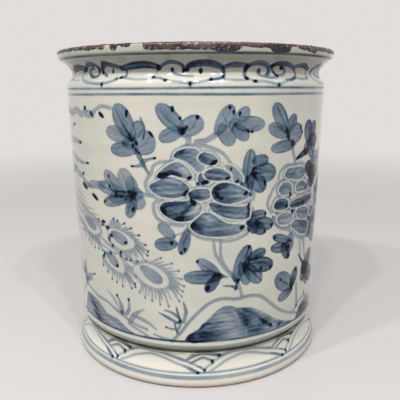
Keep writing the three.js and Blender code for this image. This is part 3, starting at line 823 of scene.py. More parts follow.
SECOND_STROKES = [
    (1.6, 0.2, (38.4, 177), (43, 175.4), (48.6, 176.4)),
    (1.6, 0.2, (40.4, 173.4), (42.6, 178), (45, 180)),
    (2.4, -0.16, (44, 178), (46, 175), (48, 173)),
    (1.6, 0.2, (35.4, 165.6), (38, 166.4), (40.6, 163.6)),
    (1.6, -0.14, (36, 162.6), (38, 163.4), (39.6, 162)),
    (1.6, 0.2, (45.6, 165.6), (49, 166.4), (52.4, 163)),
    (1.6, -0.14, (46, 162.6), (49, 163.2), (51, 162)),
    ((4, 5, 3), 0.24, (32.8, 152), (35, 152.2), (37.4, 151.6)),
    ((2, 3.4, 2.4), 0.2, (42, 149.6), (48, 150), (56.6, 151.4)),
    (1.6, -0.2, (43, 152.4), (47, 152), (52, 153)),
    (1.4, 0.2, (35.4, 141.6), (38.4, 140.6), (41.4, 141)),
    (2, -0.16, (36, 138), (39, 137), (41.4, 137.6)),
    (2.4, 0.4, (31.2, 142.6), (32.6, 144.8), (34, 146.6)),
    (1.6, 0.2, (46.6, 142.6), (50.6, 140.4), (54.6, 138.6)),
    (1.6, -0.14, (48, 139), (51, 137), (54, 136)),
    (1.6, 0.2, (44.4, 130), (49.6, 128.6), (55.6, 126)),
    (1.6, 0.2, (47, 133), (51, 130.4), (55.6, 129)),
    (1.6, -0.16, (46.6, 127.6), (50.6, 125.6), (54.6, 123)),
]
SECOND_TOUCHES = [
    (40.7, 159.6, 1.3, 2.2, 10, 0.98),
    (52, 161.6, 1.3, 2, 60, 0.92),
    (50.3, 149, 1.4, 2, 40, 0.97),
    (42.6, 144, 1.6, 1.8, 0, 0.85),
    (38.8, 150, 1.4, 2, 0, 0.93),
    (57.4, 152, 1.4, 2, 0, 0.93),
]

# Stems of the two large flowers.
STEMS = [
    ((2.4, 2.8, 3.4), 0.33, (6.3, 129), (7.2, 117), (10.2, 107), (13.6, 99)),
    ((2.2, 2.4, 3), 0.33, (9.2, 128.4), (9.4, 115), (12, 103), (14.6, 96.4)),
    ((3.2, 3.6, 2.6), 0.36, (13.8, 98.6), (16.4, 90), (18.3, 78.6)),
    ((4.2, 4, 3.4), 0.36, (51.4, 118), (53.4, 110), (54.6, 99)),
    ((2.6, 2.8, 2.4), 0.32, (48.6, 121), (50, 110), (50.8, 101)),
]

# Rocks along the ground.
ROCKS = [
    ((0.6, 0.5), 14, (-64, 40.5), (-62.4, 48), (-61, 56), (-59.6, 61), (-56.6, 63), (-52, 62.4), (-48, 60),
     (-45, 56), (-42, 52.6), (-39, 52), (-36, 51.2), (-33, 48), (-30, 44.4), (-26.8, 41), (-40, 40.6), (-55, 40.6)),
    ((0.56, 0.5), 6, (-4, 40.3), (-4.6, 43.6), (-3.4, 47.2), (-1, 50.4), (0.8, 52.8), (2, 56.4), (4.2, 60.4),
     (6.2, 64.8), (8.4, 69), (10.8, 71.6), (13.6, 71.4), (16.4, 69.2), (20, 68.2), (23, 66.8), (25.6, 64.2),
     (28.6, 60.2), (32, 55.4), (36, 50), (40.4, 45.6), (46.6, 40.4), (30, 40.2), (10, 40.2)),
    ((0.62, 0.6), 10, (49.6, 41), (51, 47.6), (54.6, 53.4), (59, 55), (63.6, 51.6), (66.8, 44), (64, 40.6),
     (56, 40.4)),
]
ROCK_CLOUDS = [
    (3, 45.6, 15, 7, 0, 0.36),
    (0.6, 41, 8, 2, 0, 0.28),
    (15, 45, 7, 5, 0, -0.16),
    (11, 60.6, 9, 5, 30, -0.2),
    (-3.2, 44, 3, 6, 0, 0.18),
    (0, 46.4, 1.8, 3, 0, -0.12),
    (12, 53.6, 10, 2.4, 0, -0.08),
    (12, 69, 6, 3, 0, 0.1),
    (20.4, 58.6, 7.4, 12, -12, 0.36),
    (25, 45.4, 8, 4.2, 0, 0.28),
    (29.6, 51, 11, 5, -32, 0.24),
    (37.6, 44, 5, 2.6, -40, 0.2),
    (43.6, 41.6, 6, 1.6, 0, 0.26),
    (-52.6, 54, 7, 3, 20, 0.26),
    (-49, 46, 8, 5, 20, 0.3),
    (-58, 46, 6, 6, 0, -0.1),
    (-38, 44.6, 9, 3.4, 10, -0.1),
    (-55, 60.6, 8, 2, 0, 0.1),
    (57, 47, 12, 4, 0, 0.2),
]
ROCK_STROKES = [
    ((4, 6, 2), 0.1, (-3.4, 44), (1, 47), (7, 48.4)),
    ((2.4, 3, 1), 0.3, (1.4, 53.6), (2.8, 55.8), (5, 58.4)),
    ((2, 2.6, 1.4), 0.2, (4.4, 56.2), (9.6, 57.4), (15.4, 56.8)),
    ((1.4, 1.8, 1), 0.084, (5.4, 53.4), (10, 54.2), (17, 53)),
    ((1.4, 1.6, 1), -0.072, (5, 55), (10, 55.8), (16.4, 55)),
    ((1.4, 1.8, 1), -0.072, (4, 51.6), (10, 52.2), (17.4, 51.4)),
    ((1.2, 1.6, 1), 0.072, (8, 50.2), (13, 50.6), (18, 50)),
    ((1.4, 1.8, 1), 0.084, (6.4, 63.6), (10, 66), (15, 65.2)),
    ((1.4, 1.8, 1), 0.06, (6.4, 60.4), (10, 61.6), (15.6, 61)),
    ((1.4, 2, 1), -0.072, (8, 68), (11.4, 69.4), (15, 67.4)),
    ((2.4, 4.4, 3.6), 0.12, (15.6, 66.8), (18, 62.4), (20, 56.6), (20.6, 51.4)),
    ((1.6, 2, 1.2), -0.12, (14.6, 66), (16.4, 61), (17.4, 55.4), (17.6, 51)),
    ((1.4, 2.4, 1.4), 0.22, (19, 66), (22.4, 63), (26.4, 57.4), (28.4, 53.4)),
    ((1.2, 1.8, 1), -0.096, (18.4, 64.6), (22, 60.4), (24.6, 55.4)),
    ((1.4, 2, 1), 0.096, (21.6, 60.4), (24.4, 56.6), (26, 51.6)),
    ((2, 2.6, 1.4), -0.16, (24, 65.6), (28, 60.4), (32, 54.6), (36.4, 48.4)),
    ((1.2, 1.6, 1), -0.072, (22.4, 56), (24, 53), (25, 50.6)),
    ((2.4, 3.4, 2), 0.3, (26.6, 55), (29.4, 51), (31.6, 47.4), (33.2, 44.8)),
    ((1.4, 1.8, 1), 0.12, (21.4, 49.4), (25, 49.6), (29, 48.4)),
    ((1.4, 1.8, 1), -0.12, (24, 47.8), (28, 46.6), (33, 44.2)),
    ((1.2, 1.6, 1), 0.084, (22, 46.2), (26.6, 45.2), (31.4, 43)),
    ((1.4, 1.8, 1), -0.096, (20.2, 49.6), (20.4, 46), (20.4, 42.4)),
    ((1.4, 1.8, 1), 0.1, (6, 45.4), (12, 49), (17.4, 52.6)),
    ((1.6, 2, 1), 0.1, (2, 49), (7, 54), (12, 60)),
    ((1.4, 2, 1), 0.144, (34.6, 48.4), (37.4, 45.2), (40.6, 42.6)),
    ((1.4, 2, 1), -0.084, (34.6, 45.6), (37, 43.2), (39, 41.6)),
    ((2, 3, 1.4), 0.24, (-57, 56), (-53.4, 54), (-49.6, 51)),
    ((1.6, 2.4, 1.4), 0.2, (-57.6, 59.4), (-53, 58), (-48.4, 55)),
    ((1.4, 1.8, 1), -0.084, (-58.4, 57.6), (-54, 56), (-49.4, 53.2)),
    ((1.4, 2.4, 1), -0.14, (-56, 51.6), (-52, 50), (-48, 47.4)),
    ((2, 3, 1.4), 0.24, (-53.6, 48.4), (-50, 45.6), (-47, 42)),
    ((1.4, 2, 1), 0.096, (-44.6, 50.6), (-39.6, 48.6), (-33.6, 45.4)),
    ((1.4, 2, 1), -0.084, (-45, 48), (-40, 46.4), (-35, 43.4)),
    ((1.4, 2, 1), 0.072, (-45.6, 45.4), (-41, 44.2), (-37, 42)),
    ((1.4, 2, 1), -0.072, (-60, 50), (-57, 47.6), (-53.6, 43)),
    ((2, 4, 2), 0.22, (53, 49), (57.6, 49.6), (62, 46.6)),
    ((2, 4, 2), 0.16, (54, 44.6), (59, 44.8), (64, 43)),
    ((2, 3, 2), -0.14, (53.6, 47), (58, 47.4), (62, 45)),
]
ROCK_TOUCHES = [
    (29.2, 51, 1.6, 1.5, -40, 0.93),
    (32.6, 46.6, 1.5, 1.8, -40, 0.9),
    (-1, 40.9, 5, 1.2, 0, 1.0),
    (37.4, 43.4, 1.5, 1.1, -40, 0.78),
]
ROCK_OUTLINES = [
    (3.2, 0.34, (-10.4, 40.6), (-6.6, 49), (-3, 59.4), (1.6, 69.4), (5.6, 75.8), (10, 78.4), (16, 77), (22, 78),
     (27, 75.4), (32, 67), (37, 58.6), (42, 52.6), (45.4, 50), (49.4, 47)),
    (2.8, 0.34, (-67.6, 48), (-65.6, 58), (-62, 66.6), (-58, 70), (-53, 68), (-48, 65.4), (-42, 64.4), (-37, 60.2),
     (-32, 55.6), (-28, 52), (-21, 48.4)),
    (2.4, 0.28, (-30, 50), (-25, 46.4), (-20, 42)),
    (2.4, 0.28, (-26, 57.6), (-20, 54), (-17, 50)),
    (3, 0.34, (46.6, 50), (51.6, 56.8), (57, 58.6), (62.4, 55), (66.6, 49)),
    (2, 0.3, (-18, 45), (-14, 43), (-10.6, 41.6)),
]

# Tufts of grass between the rocks.
GRASS = [
    ((4.6, 4.4, 1.2), (0.44, 0.4), (-32.8, 57.6), (-33.2, 65), (-35.2, 73)),
    ((3.4, 3.2, 1.4), (0.42, 0.4), (-30.6, 58.6), (-29, 65), (-29.2, 72)),
    ((1, 3.4, 0.8), 0.3, (-41.6, 75.6), (-37, 69), (-34.4, 61)),
    ((5, 4.4, 0.6), (0.46, 0.32), (-28.8, 52.4), (-26.4, 60), (-21.6, 66.8)),
    ((2.4, 2, 0.6), 0.32, (-28, 58.6), (-22.6, 57.4), (-18.4, 52.6)),
    ((2, 2.4, 1), 0.34, (-36, 60), (-33.6, 58.4), (-31.6, 59)),
    ((0.8, 2.4, 2.8), 0.6, (-15.6, 65.6), (-12, 62), (-8, 57.6)),
    ((0.8, 2.2, 2.4), 0.55, (-13.2, 68.2), (-10, 66.4), (-7.4, 62.4)),
    ((1, 1.9, 1.6), 0.68, (-8.2, 71.4), (-7.6, 66), (-6.4, 59)),
    ((1.2, 1.8, 1), 0.66, (-9, 57), (-8.6, 52.4), (-7.8, 47.6)),
    ((1.4, 3, 2.6), 0.5, (-5.4, 75.8), (-4.4, 68), (-5.4, 58.6)),
    ((0.8, 1.8, 1.6), 0.5, (-12.6, 53), (-10.6, 51.8), (-8.2, 51.4)),
    ((1, 2.4, 1), 0.5, (-8.2, 48.4), (-7.4, 53), (-6, 58.4)),
    ((6, 5, 1), (0.52, 0.4), (-59.6, 73.6), (-56, 80), (-50, 85)),
    ((5, 4, 0.8), (0.5, 0.34), (-58.4, 75.6), (-55, 77.4), (-52, 79.6)),
    ((7, 5, 1), (0.54, 0.34), (-60, 82), (-63, 87), (-66.6, 92.6)),
    ((5, 4, 1), (0.5, 0.3), (-60, 84), (-59.6, 90), (-58.6, 96)),
    ((6, 5, 1), (0.5, 0.36), (-62, 80), (-66, 81), (-71, 84)),
    ((6, 7, 6), 0.56, (-59, 72), (-60.6, 77), (-60.6, 83)),
]
GRASS_TOUCHES = [
    (-35.4, 73.4, 1.2, 1.4, 0, 0.72),
    (-29.2, 72.4, 1.1, 1.5, 0, 0.7),
    (-33, 59.4, 1.3, 2, 10, 0.6),
    (-50.2, 85, 1, 1.2, 60, 0.6),
    (-7, 59, 0.9, 2, 10, 0.78),
    (-12.6, 52.8, 0.8, 1, 20, 0.66),
]

# Long feathers that trail from the bird at the left.
STREAMERS = [
    ((6, 7, 5), 0.4, (-96, 216), (-86, 224), (-75, 227.4), (-68, 227), (-62, 225), (-57, 228), (-52, 224.6),
     (-49, 227.4)),
    ((3, 3.6, 3), 0.3, (-44, 226.6), (-41.6, 229), (-38, 231.6), (-33.6, 230.4)),
    ((8, 8, 2), 0.34, (-47.6, 224.6), (-44.6, 224.4), (-42, 227)),
    ((5, 6, 1.2), (0.38, 0.34), (-95, 208), (-84, 213), (-75, 212.6), (-67, 211), (-62, 215), (-59, 216)),
    ((6, 8, 1.2), (0.4, 0.4), (-96, 198), (-84, 200), (-75, 200.4), (-64, 202), (-57, 201.4), (-53.8, 200.7)),
    ((6, 7.4, 1.2), 0.4, (-96, 188), (-84, 186), (-75, 186), (-67, 189), (-61, 186), (-55, 184), (-48.6, 184.3)),
    ((7, 7, 3), 0.42, (-94, 178), (-84, 174), (-75, 172.4), (-69, 175), (-64, 178), (-60, 173.6), (-56, 172),
     (-52, 167), (-47, 164.6)),
    ((3, 8, 8), 0.44, (-52, 164), (-48, 166.6), (-44, 168), (-40, 168)),
    ((1.4, 2.4, 1), 0.6, (-75, 170.4), (-68, 172.6), (-62, 175)),
    ((1.4, 2.4, 1), 0.55, (-75, 225.6), (-67, 225.4), (-60, 224.8)),
]
STREAMER_TOUCHES = [
    (-49, 230, 1.6, 2, 60, 0.93),
    (-44.4, 225.2, 1.5, 3, -50, 0.99),
    (-38.5, 224.8, 1.7, 3.6, -56, 1.0),
    (-61, 215.6, 1.1, 2.4, 80, 0.85),
    (-55.2, 200.8, 1.3, 2.4, 88, 0.98),
    (-49.6, 184.3, 1, 1.8, 88, 0.9),
    (-54.3, 174.5, 1.3, 1.9, 70, 0.98),
    (-53.4, 163.6, 2, 5, -64, 1.0),
    (-45.6, 156.4, 1.9, 5, -62, 1.0),
    (-63.6, 177.6, 1.4, 2, 60, 0.8),
]

# Tail feathers. Each eye has a lobe, a white ring with a pale line round it, and barbs that end in dots.
ALONG_FEATHER = (3.2, -6.5)  # a short way towards the feather's end, in degrees and millimetres
FEATHER_EYES = [
    {"lobe": (-56.4, 136, -46, 128.2, 4.2, 0.45), "ring": [(-57, 138.6), (-52, 138), (-46.6, 133.6), (-43.2, 127.4),
     (-46, 123), (-50.6, 122.6), (-56, 127.6)],
     "tips": [(-53.3, 114.7), (-51.3, 112.8), (-48.3, 110.5), (-45.2, 110.8), (-42.8, 110.5), (-56.4, 118),
      (-44, 137.6), (-41.6, 133.4), (-58.6, 122)]},
    {"lobe": (-36.8, 129.2, -28.2, 122.2, 4.6, 0.46), "ring": [(-38.4, 132.4), (-34, 133.4), (-29.6, 131),
     (-25, 125), (-25.8, 118.4), (-31.6, 115.2), (-36.6, 119)],
     "tips": [(-34.8, 141.3), (-32.7, 140.2), (-29.3, 138.8), (-26.3, 135.3), (-22.8, 130.3), (-20.2, 122.8),
      (-19.2, 117.7), (-19.5, 114), (-20.2, 108.2), (-24.1, 107.5), (-27.2, 108), (-29.2, 108.3), (-32, 112.8)]},
    {"lobe": (-40.4, 110.4, -33.6, 100.6, 4.2, 0.45), "ring": [(-42, 104.6), (-39.6, 99.4), (-35.6, 95.4),
     (-31.6, 94), (-30.2, 98.4), (-31, 105), (-33, 110.4)],
     "tips": [(-43, 97), (-40.3, 92.5), (-37.7, 87), (-35, 85.3), (-31.8, 83.3), (-27.3, 83.3), (-25.5, 84.8),
      (-25.6, 87.8), (-25, 94.5), (-25, 100.2)]},
    {"lobe": (-23, 104.4, -13.8, 92, 5.2, 0.4), "dot": 0.38, "ring": [(-25, 104.6), (-20.4, 108), (-14.4, 104.4),
     (-11, 96.6), (-11.4, 89), (-16, 86), (-21, 89), (-25.6, 96.6)],
     "tips": [(-14, 113), (-9.7, 109), (-7, 103), (-6, 96), (-5, 90), (-5.5, 85.5), (-6, 81.3), (-7, 77),
      (-11.3, 71.8), (-14.8, 72.8), (-18.2, 75), (-21.3, 77), (-23.7, 80.8)]},
]
FEATHER_SHAFTS = [
    ((3, 2.4, 1.2), 0.34, (-92, 172), (-76, 158), (-66, 146), (-56.6, 137.6)),
    ((2.6, 2.2, 1), 0.34, (-90, 166), (-70, 152), (-52, 142), (-38, 131.6)),
    ((2.4, 2, 1), 0.32, (-88, 160), (-66, 136), (-50, 120), (-41.6, 110.6)),
    ((2.4, 2, 1), 0.32, (-84, 150), (-60, 128), (-40, 114), (-24.6, 105.4)),
    ((1, 2.4, 1), 0.3, (-66, 160), (-60, 155.6), (-55, 152.6)),
    ((1, 2.2, 0.8), 0.32, (-68, 156), (-60, 151), (-52.6, 148)),
    ((1, 2.2, 0.8), 0.34, (-70, 151), (-58, 146), (-47, 144.6)),
    ((1, 2, 0.8), 0.3, (-60, 143.4), (-52, 141.4), (-43.6, 141)),
    ((1, 2.4, 0.8), 0.3, (-70, 142), (-62, 139), (-57, 135.4)),
    ((1, 2.4, 0.8), 0.32, (-72, 134), (-64, 132), (-57.6, 131)),
    ((1, 2.4, 0.8), 0.34, (-74, 128), (-64, 128), (-56.6, 126)),
    ((1, 2.4, 0.8), 0.3, (-66, 122), (-60, 122.6), (-54, 121)),
    ((1, 2, 0.8), 0.3, (-52, 126.6), (-48, 121), (-44, 117)),
    ((1, 2, 0.8), 0.28, (-46, 124.6), (-40, 119.6), (-36.6, 116)),
    ((1, 2, 0.8), 0.28, (-43, 121), (-38, 116.4), (-33, 113.6)),
    ((1, 2, 0.8), 0.28, (-30.6, 112.6), (-26, 108.4), (-23.6, 105)),
    ((1, 2, 0.8), 0.28, (-31, 107.6), (-28, 103), (-25.4, 98.6)),
]
FEATHER_TOUCHES = [
    (-41, 136.8, 1.4, 2.6, 90, 1.0),
    (-38.7, 132.2, 1.4, 2.4, 90, 1.0),
    (-36.7, 126, 1.6, 2.2, -64, 0.98),
    (-29.3, 122.5, 1.2, 1.9, 80, 0.95),
    (-36.2, 117.7, 1.3, 1.6, -40, 0.93),
    (-37.8, 122.6, 1.1, 2.4, -20, 0.85),
    (-34.3, 100.4, 1.4, 1.6, 60, 0.95),
    (-41.8, 107.4, 1.1, 3.6, 26, 0.98),
    (-37.6, 110.2, 1.2, 1.4, 0, 0.8),
    (-32.2, 112.8, 1.1, 1.5, 60, 0.88),
    (-32, 110.2, 0.9, 1.2, 60, 0.75),
]

# The bird whose tail this is: body, neck, head, wings and legs, on the side that the front view doesn't show.
BIRD_PETALS = [
    (-92, 176, -108, 196, 13, 0.5),
    (-104, 190, -112, 208, 7, 0.5),
    (-111, 206, -116, 222, 5, 0.46),
    (-114, 219, -121, 226, 5.4, 0.6),
    (-94, 190, -88, 214, 7, 0.62),
    (-97, 192, -94, 219, 6, 0.58),
    (-91, 186, -82, 207, 6, 0.6),
    (-96, 184, -98, 214, 6, 0.5),
    (-89, 182, -78, 198, 5.4, 0.56),
]
BIRD_LINES = [
    ((3, 2, 0.8), 0.85, (-120, 225), (-124, 224), (-126.6, 221)),
    ((1, 2.6, 1), 0.7, (-116, 228), (-113, 234), (-108, 236)),
    ((1, 2.4, 1), 0.6, (-115, 227), (-110.6, 230), (-106, 230)),
    ((3, 2, 1.4), 0.66, (-101, 178), (-103, 166), (-101, 156), (-104, 148)),
    ((3, 2, 1.4), 0.66, (-96, 174), (-96, 162), (-93, 152), (-95, 145)),
    ((1.4, 1.4, 1), 0.75, (-104, 148), (-108, 145), (-111, 145)),
    ((1.4, 1.4, 1), 0.75, (-95, 145), (-99, 141), (-102, 141)),
    (1.4, 0.75, (-99, 180), (-103, 186), (-104, 194)),
    (1.4, 0.75, (-95, 180), (-99, 188), (-100, 198)),
    (1.4, 0.72, (-92, 184), (-95, 192), (-95, 202)),
    (1.4, 0.72, (-109, 200), (-112, 208), (-114, 216)),
]
BIRD_TOUCHES = [
    (-117.6, 223.6, 1.4, 1.6, 0, 1.0),
    (-107.6, 236, 1.5, 1.5, 0, 0.9),
    (-105.6, 230, 1.4, 1.4, 0, 0.85),
    (-94, 217, 1.4, 2.4, 0, 0.95),
    (-88.6, 211, 1.3, 2.4, 14, 0.95),
    (-82.6, 205, 1.3, 2.4, 24, 0.93),
    (-100, 190, 1.4, 3, 30, 0.9),
    (-104, 201, 1.2, 2.6, -20, 0.88),
]


def flower_side(sheet, **move):
    """The large flowers with their leaves, stems and pale rings. A leaf is darker at its base than at its tip."""
    lines(sheet, STEMS, **move)
    rings = [(1.9, 0.36, *grown(path, 2.7)) for _, _, *path in SECOND_PETALS]
    rings += [(1.2, 0.3, *grown(path, 2)) for _, _, *path in GREAT_PETALS]
    lines(sheet, GREAT_OUTLINES + SECOND_OUTLINES + [(*ring, ring[2]) for ring in rings], rim=0.25, **move)
    leaves = [(*egg, tone + 0.3 * (0.66 - tone), tone * 0.92) for *egg, tone in LEAF_PETALS]
    petals(sheet, leaves, root=ROOT, **move)
    wet_lines(sheet, [(width, dark * 0.36, *points) for width, dark, *points in LEAF_VEINS], soft=0.8, **move)
    lines(sheet, TWIGS, **move)
    patches(sheet, GREAT_PETALS, reserve=1.3, **move)
    patches(sheet, SECOND_PETALS, reserve=1.2, **move)
    clouds(sheet, GREAT_CLOUDS, **move)
    wet_lines(sheet, GREAT_STROKES + SECOND_STROKES, **move)
    dots(sheet, LEAF_TOUCHES + GREAT_TOUCHES + SECOND_TOUCHES, **move)


def rock_side(sheet, **move):
    """Rocks along the ground, with a pale line over each and tufts of grass between."""
    lines(sheet, ROCK_OUTLINES, rim=0.25, **move)
    patches(sheet, ROCKS, **move)
    clouds(sheet, ROCK_CLOUDS, **move)
    wet_lines(sheet, ROCK_STROKES, soft=0.9, **move)
    dots(sheet, ROCK_TOUCHES, **move)
    lines(sheet, GRASS, **move)
    dots(sheet, GRASS_TOUCHES, **move)


def feather_eye(sheet, lobe, ring, tips, dot=0.62, **move):
    """One eye of the tail: barbs sweep from the ring towards the feather's end and finish in dots, with shorter
    ones between, over a pale bloom; the ring is left bare round its lobe. A barb starts from the ring's nearest
    place to its tip, moved back along the feather, and bows a little."""
    ring, tips = np.array(ring, float), np.array(tips, float)
    loop = smooth_path(ring, closed=True)
    lines(sheet, [(6.4, 0.2, *ring, ring[0])], rim=0, **move)
    between = (tips[:-1] + tips[1:]) / 2
    for spots, width, reach in ((tips, 1.9, 1.0), (between, 1.6, 0.78)):
        for tip in spots:
            gap = np.hypot((loop[:, 0] - tip[0]) * MM_PER_DEGREE, loop[:, 1] - tip[1])
            root = loop[np.argmin(gap)]
            root = root - (tip - root) * 0.12 - np.array(ALONG_FEATHER) * 0.5
            end = root + (tip - root) * reach
            middle = (root + end) / 2 + (end - root)[::-1] * (-0.03, 0.08)
            lines(sheet, [((width * 1.3, width, width * 0.55), (0.3, 0.36), root, middle, end)], **move)
    patches(sheet, [(0.01, 0, *ring)], reserve=0.2, **move)
    lines(sheet, [(1.8, 0.3, *ring)], rim=0.2, **move)
    petals(sheet, [lobe], **move)
    dots(sheet, [(x, y, 0.85, 1.1, 20, dot) for x, y in tips], **move)


def bird_side(sheet, **move):
    """The bird, its trailing feathers and the eyes of its tail."""
    lines(sheet, FEATHER_SHAFTS + STREAMERS, **move)
    for eye in FEATHER_EYES:
        feather_eye(sheet, **eye, **move)
    petals(sheet, BIRD_PETALS, **move)
    lines(sheet, BIRD_LINES, **move)
    dots(sheet, STREAMER_TOUCHES + FEATHER_TOUCHES + BIRD_TOUCHES, **move)


def ring_line(sheet, height, width, tone):
    """A line drawn while the pot turned on the wheel: height and tone are sums of slow and quick sines of the
    turn, so that it wavers a little and its colour comes and goes."""
    a = np.radians(sheet["turns"][:, None])
    at = height + 0.22 * np.sin(2 * a + height) + 0.12 * np.sin(5 * a + 2 * height)
    strength = tone * (1 + 0.12 * np.sin(3 * a + height) + 0.1 * np.sin(11 * a + 3 * height) + 0.06 * np.sin(29 * a))
    deep = width / 2 - np.abs(sheet["heights"][None, :] - at)
    for layer, low, high in LAYERS:
        sheet[layer] = np.maximum(sheet[layer], np.clip(strength, 0, 1) * smooth(low, high, deep))
    sheet["edge"] = np.maximum(sheet["edge"], deep)


# Three scrolls of the neck: washes and lines first, then loaded touches. Turns are from the scroll's middle.
SCROLL_NEAR = [
    ((1.8, 2.2, 1.6), (0.5, 0.36), (-10.2, 259.6), (-11, 256.6)),
    ((1.4, 1.6, 1.2), (0.6, 0.5), (-12, 253), (-9.5, 252.5), (-7.3, 250.9)),
    (2.2, 0.3, (-7.3, 251), (-4.5, 250), (-0.5, 249), (3.5, 249), (7.5, 250.5)),
    ((1.8, 2, 1.8), (0.44, 0.3), (-5.1, 258), (-4.5, 256.3), (-3, 254.8), (0, 253.8), (2.5, 253.6)),
    (2.2, 0.28, (14, 251.5), (17.5, 250.8), (21.5, 251)),
    (1.4, 0.4, (22.4, 258), (22.3, 256), (21.8, 253)),
    ((2, 3, 2.4), (0.66, 0.84), (-10, 259.2), (-9, 261.2), (-7, 263.2), (-5, 263.8), (-2.5, 262.8), (-1.1, 260.8),
     (-0.9, 258)),
    ((3.2, 4.9, 4.9, 2.9, 2, 2), (0.9, 0.7), (0.5, 258.4), (0.9, 260.8), (2.5, 262), (5, 262.9), (8, 263),
     (11, 261.6), (13, 260), (13.6, 258), (13.8, 256), (13.6, 254), (12.8, 252.5), (10.5, 251.5), (8.9, 251.2)),
    ((2.8, 4.2, 2.8), 0.72, (13.6, 259.9), (16.5, 261.7), (20.5, 261.8), (23.4, 260.9)),
]
SCROLL_NEAR_TOUCHES = [
    (-10.4, 260.6, 1.3, 1.9, 10, 0.95),
    (-12, 253.1, 1, 1.4, 80, 0.72),
    (-7.4, 250.9, 1, 1.3, 60, 0.8),
    (-5.1, 258.5, 1.3, 1.6, 0, 0.85),
    (-0.9, 257.6, 1.2, 1.8, 10, 0.95),
    (5.3, 257.4, 1.6, 2.2, 0, 1.0),
    (8.8, 251.2, 1.1, 1.5, 60, 0.95),
    (1.5, 248.2, 1.2, 1.6, 0, 1.0),
    (13.4, 253, 1, 1.2, 0, 0.7),
    (22.5, 260.4, 1.2, 2.4, 0, 0.95),
    (22.2, 252.2, 1.1, 1.3, 0, 0.8),
]
SCROLL_LEFT = [
    (2.4, 0.42, (-13, 258.8), (-13.8, 256), (-12.5, 253), (-9.5, 250.8), (-6.5, 249.8), (-2.5, 249), (1.5, 248.8),
     (6.5, 250.2), (9, 252)),
    (2.6, 0.74, (-5.5, 260.8), (-7.7, 259.2), (-7.5, 256.5), (-5.7, 254.4), (-3.1, 254), (-1.5, 255.5),
     (-1.3, 258.4)),
    (2.2, 0.7, (0.7, 258), (1.5, 256.5), (2.7, 255.2), (3.3, 254.6)),
    (2, 0.26, (13, 252.5), (17.5, 251.5), (21.5, 251.5)),
    ((2.4, 3.9, 3.2), 0.84, (-12.5, 258.4), (-10.5, 260.8), (-8, 263.2), (-5.5, 264.2), (-3, 263.2), (-1.5, 260.8),
     (-1.5, 258.4)),
    ((2.9, 4.6, 3.2, 2, 2), (0.88, 0.56), (0.7, 257), (0.5, 259.6), (1.5, 262), (3, 263.5), (5.7, 262.7),
     (8.5, 261.2), (11, 260), (12, 259.2), (12.7, 257), (12.7, 254.5), (12, 253)),
    ((3.7, 5.4, 5.1, 3.7), 0.84, (10.5, 259.8), (14.5, 261.2), (19.5, 262.1), (23.5, 261.5), (26, 259.8)),
]
SCROLL_LEFT_TOUCHES = [
    (6.1, 258, 1.1, 1.9, 0, 0.9),
    (10.7, 253, 1, 1.9, 80, 0.86),
    (8.5, 252.3, 0.9, 1.2, 60, 0.6),
    (2.1, 248, 1.3, 1.6, 0, 1.0),
    (-4.8, 261, 1, 1.6, 0, 0.66),
]
SCROLL_RIGHT = [
    ((1.8, 2.2, 1.8), (0.6, 0.44), (-13.7, 258.8), (-14.5, 256), (-14.3, 253), (-13.1, 251.6)),
    (2.2, 0.32, (-12.9, 251.2), (-10.7, 249.8), (-7.5, 250), (-4.5, 249), (-1.5, 247.8), (1.5, 248.6), (4, 250.4)),
    ((1.8, 2.2, 2), (0.5, 0.36), (-7.9, 258.8), (-8.9, 257), (-8.5, 255), (-6.5, 253.6), (-3.5, 252.6), (-0.5, 253)),
    ((1.6, 2, 1.8), 0.76, (4, 250.8), (6.5, 251.1), (8.9, 252.3)),
    (2.2, 0.28, (10.1, 252.6), (13.5, 251.8), (16.9, 252.4)),
    (1.6, 0.44, (18.9, 259.6), (18.3, 257), (18.1, 253.6)),
    ((2.7, 3.7, 3.7, 2.4), (0.86, 0.62), (-14, 258), (-13, 260.4), (-11.5, 262.3), (-9, 263.3), (-6.5, 262.8),
     (-4.7, 261.2), (-3.8, 258.8), (-4.1, 256), (-5.1, 254.6)),
    ((3.2, 3.9, 3.4, 2.2, 1.7), (0.88, 0.56), (-2.5, 261.2), (-1, 262.5), (1.5, 263.1), (4.5, 262.8), (7.5, 261.7),
     (9.1, 259.9), (10.3, 258), (10.5, 255.6), (9.7, 253.4), (8.5, 252.4)),
    ((2.4, 2.2, 1.8), (0.72, 0.84), (-2.2, 261.2), (-2.1, 258.8), (-1.5, 256.6), (-0.1, 254)),
    ((2.2, 2.2, 1.8), (0.78, 0.4), (2.1, 259.6), (3.9, 259.3), (4.5, 257.6), (3.5, 255.4), (1.9, 254.6),
     (0.1, 254.4)),
    ((2.9, 3.9, 2.9), 0.8, (9.9, 261.4), (12.5, 262.3), (15.5, 262.5), (18.1, 261.2), (20.5, 259.8)),
]
SCROLL_RIGHT_TOUCHES = [
    (-13.5, 259.6, 1.2, 1.9, 0, 0.95),
    (-13.8, 251.8, 1.3, 1.3, 0, 0.86),
    (-10.7, 249.8, 1.2, 1.9, 80, 0.8),
    (-8.1, 257.2, 1.3, 1.8, 0, 0.62),
    (2.1, 260, 1.6, 1.6, 0, 1.0),
    (-0.1, 254, 1, 1.1, 0, 0.86),
    (-0.5, 247, 1.3, 1.4, 0, 1.0),
    (18.1, 252.8, 1.1, 1.2, 0, 0.8),
]
SCROLLS = [
    (SCROLL_NEAR, SCROLL_NEAR_TOUCHES),
    (SCROLL_RIGHT, SCROLL_RIGHT_TOUCHES),
    (SCROLL_LEFT, SCROLL_LEFT_TOUCHES),
]
NECK_SCROLLS = 10
FIRST_SCROLL = -3.5  # the turn of its middle

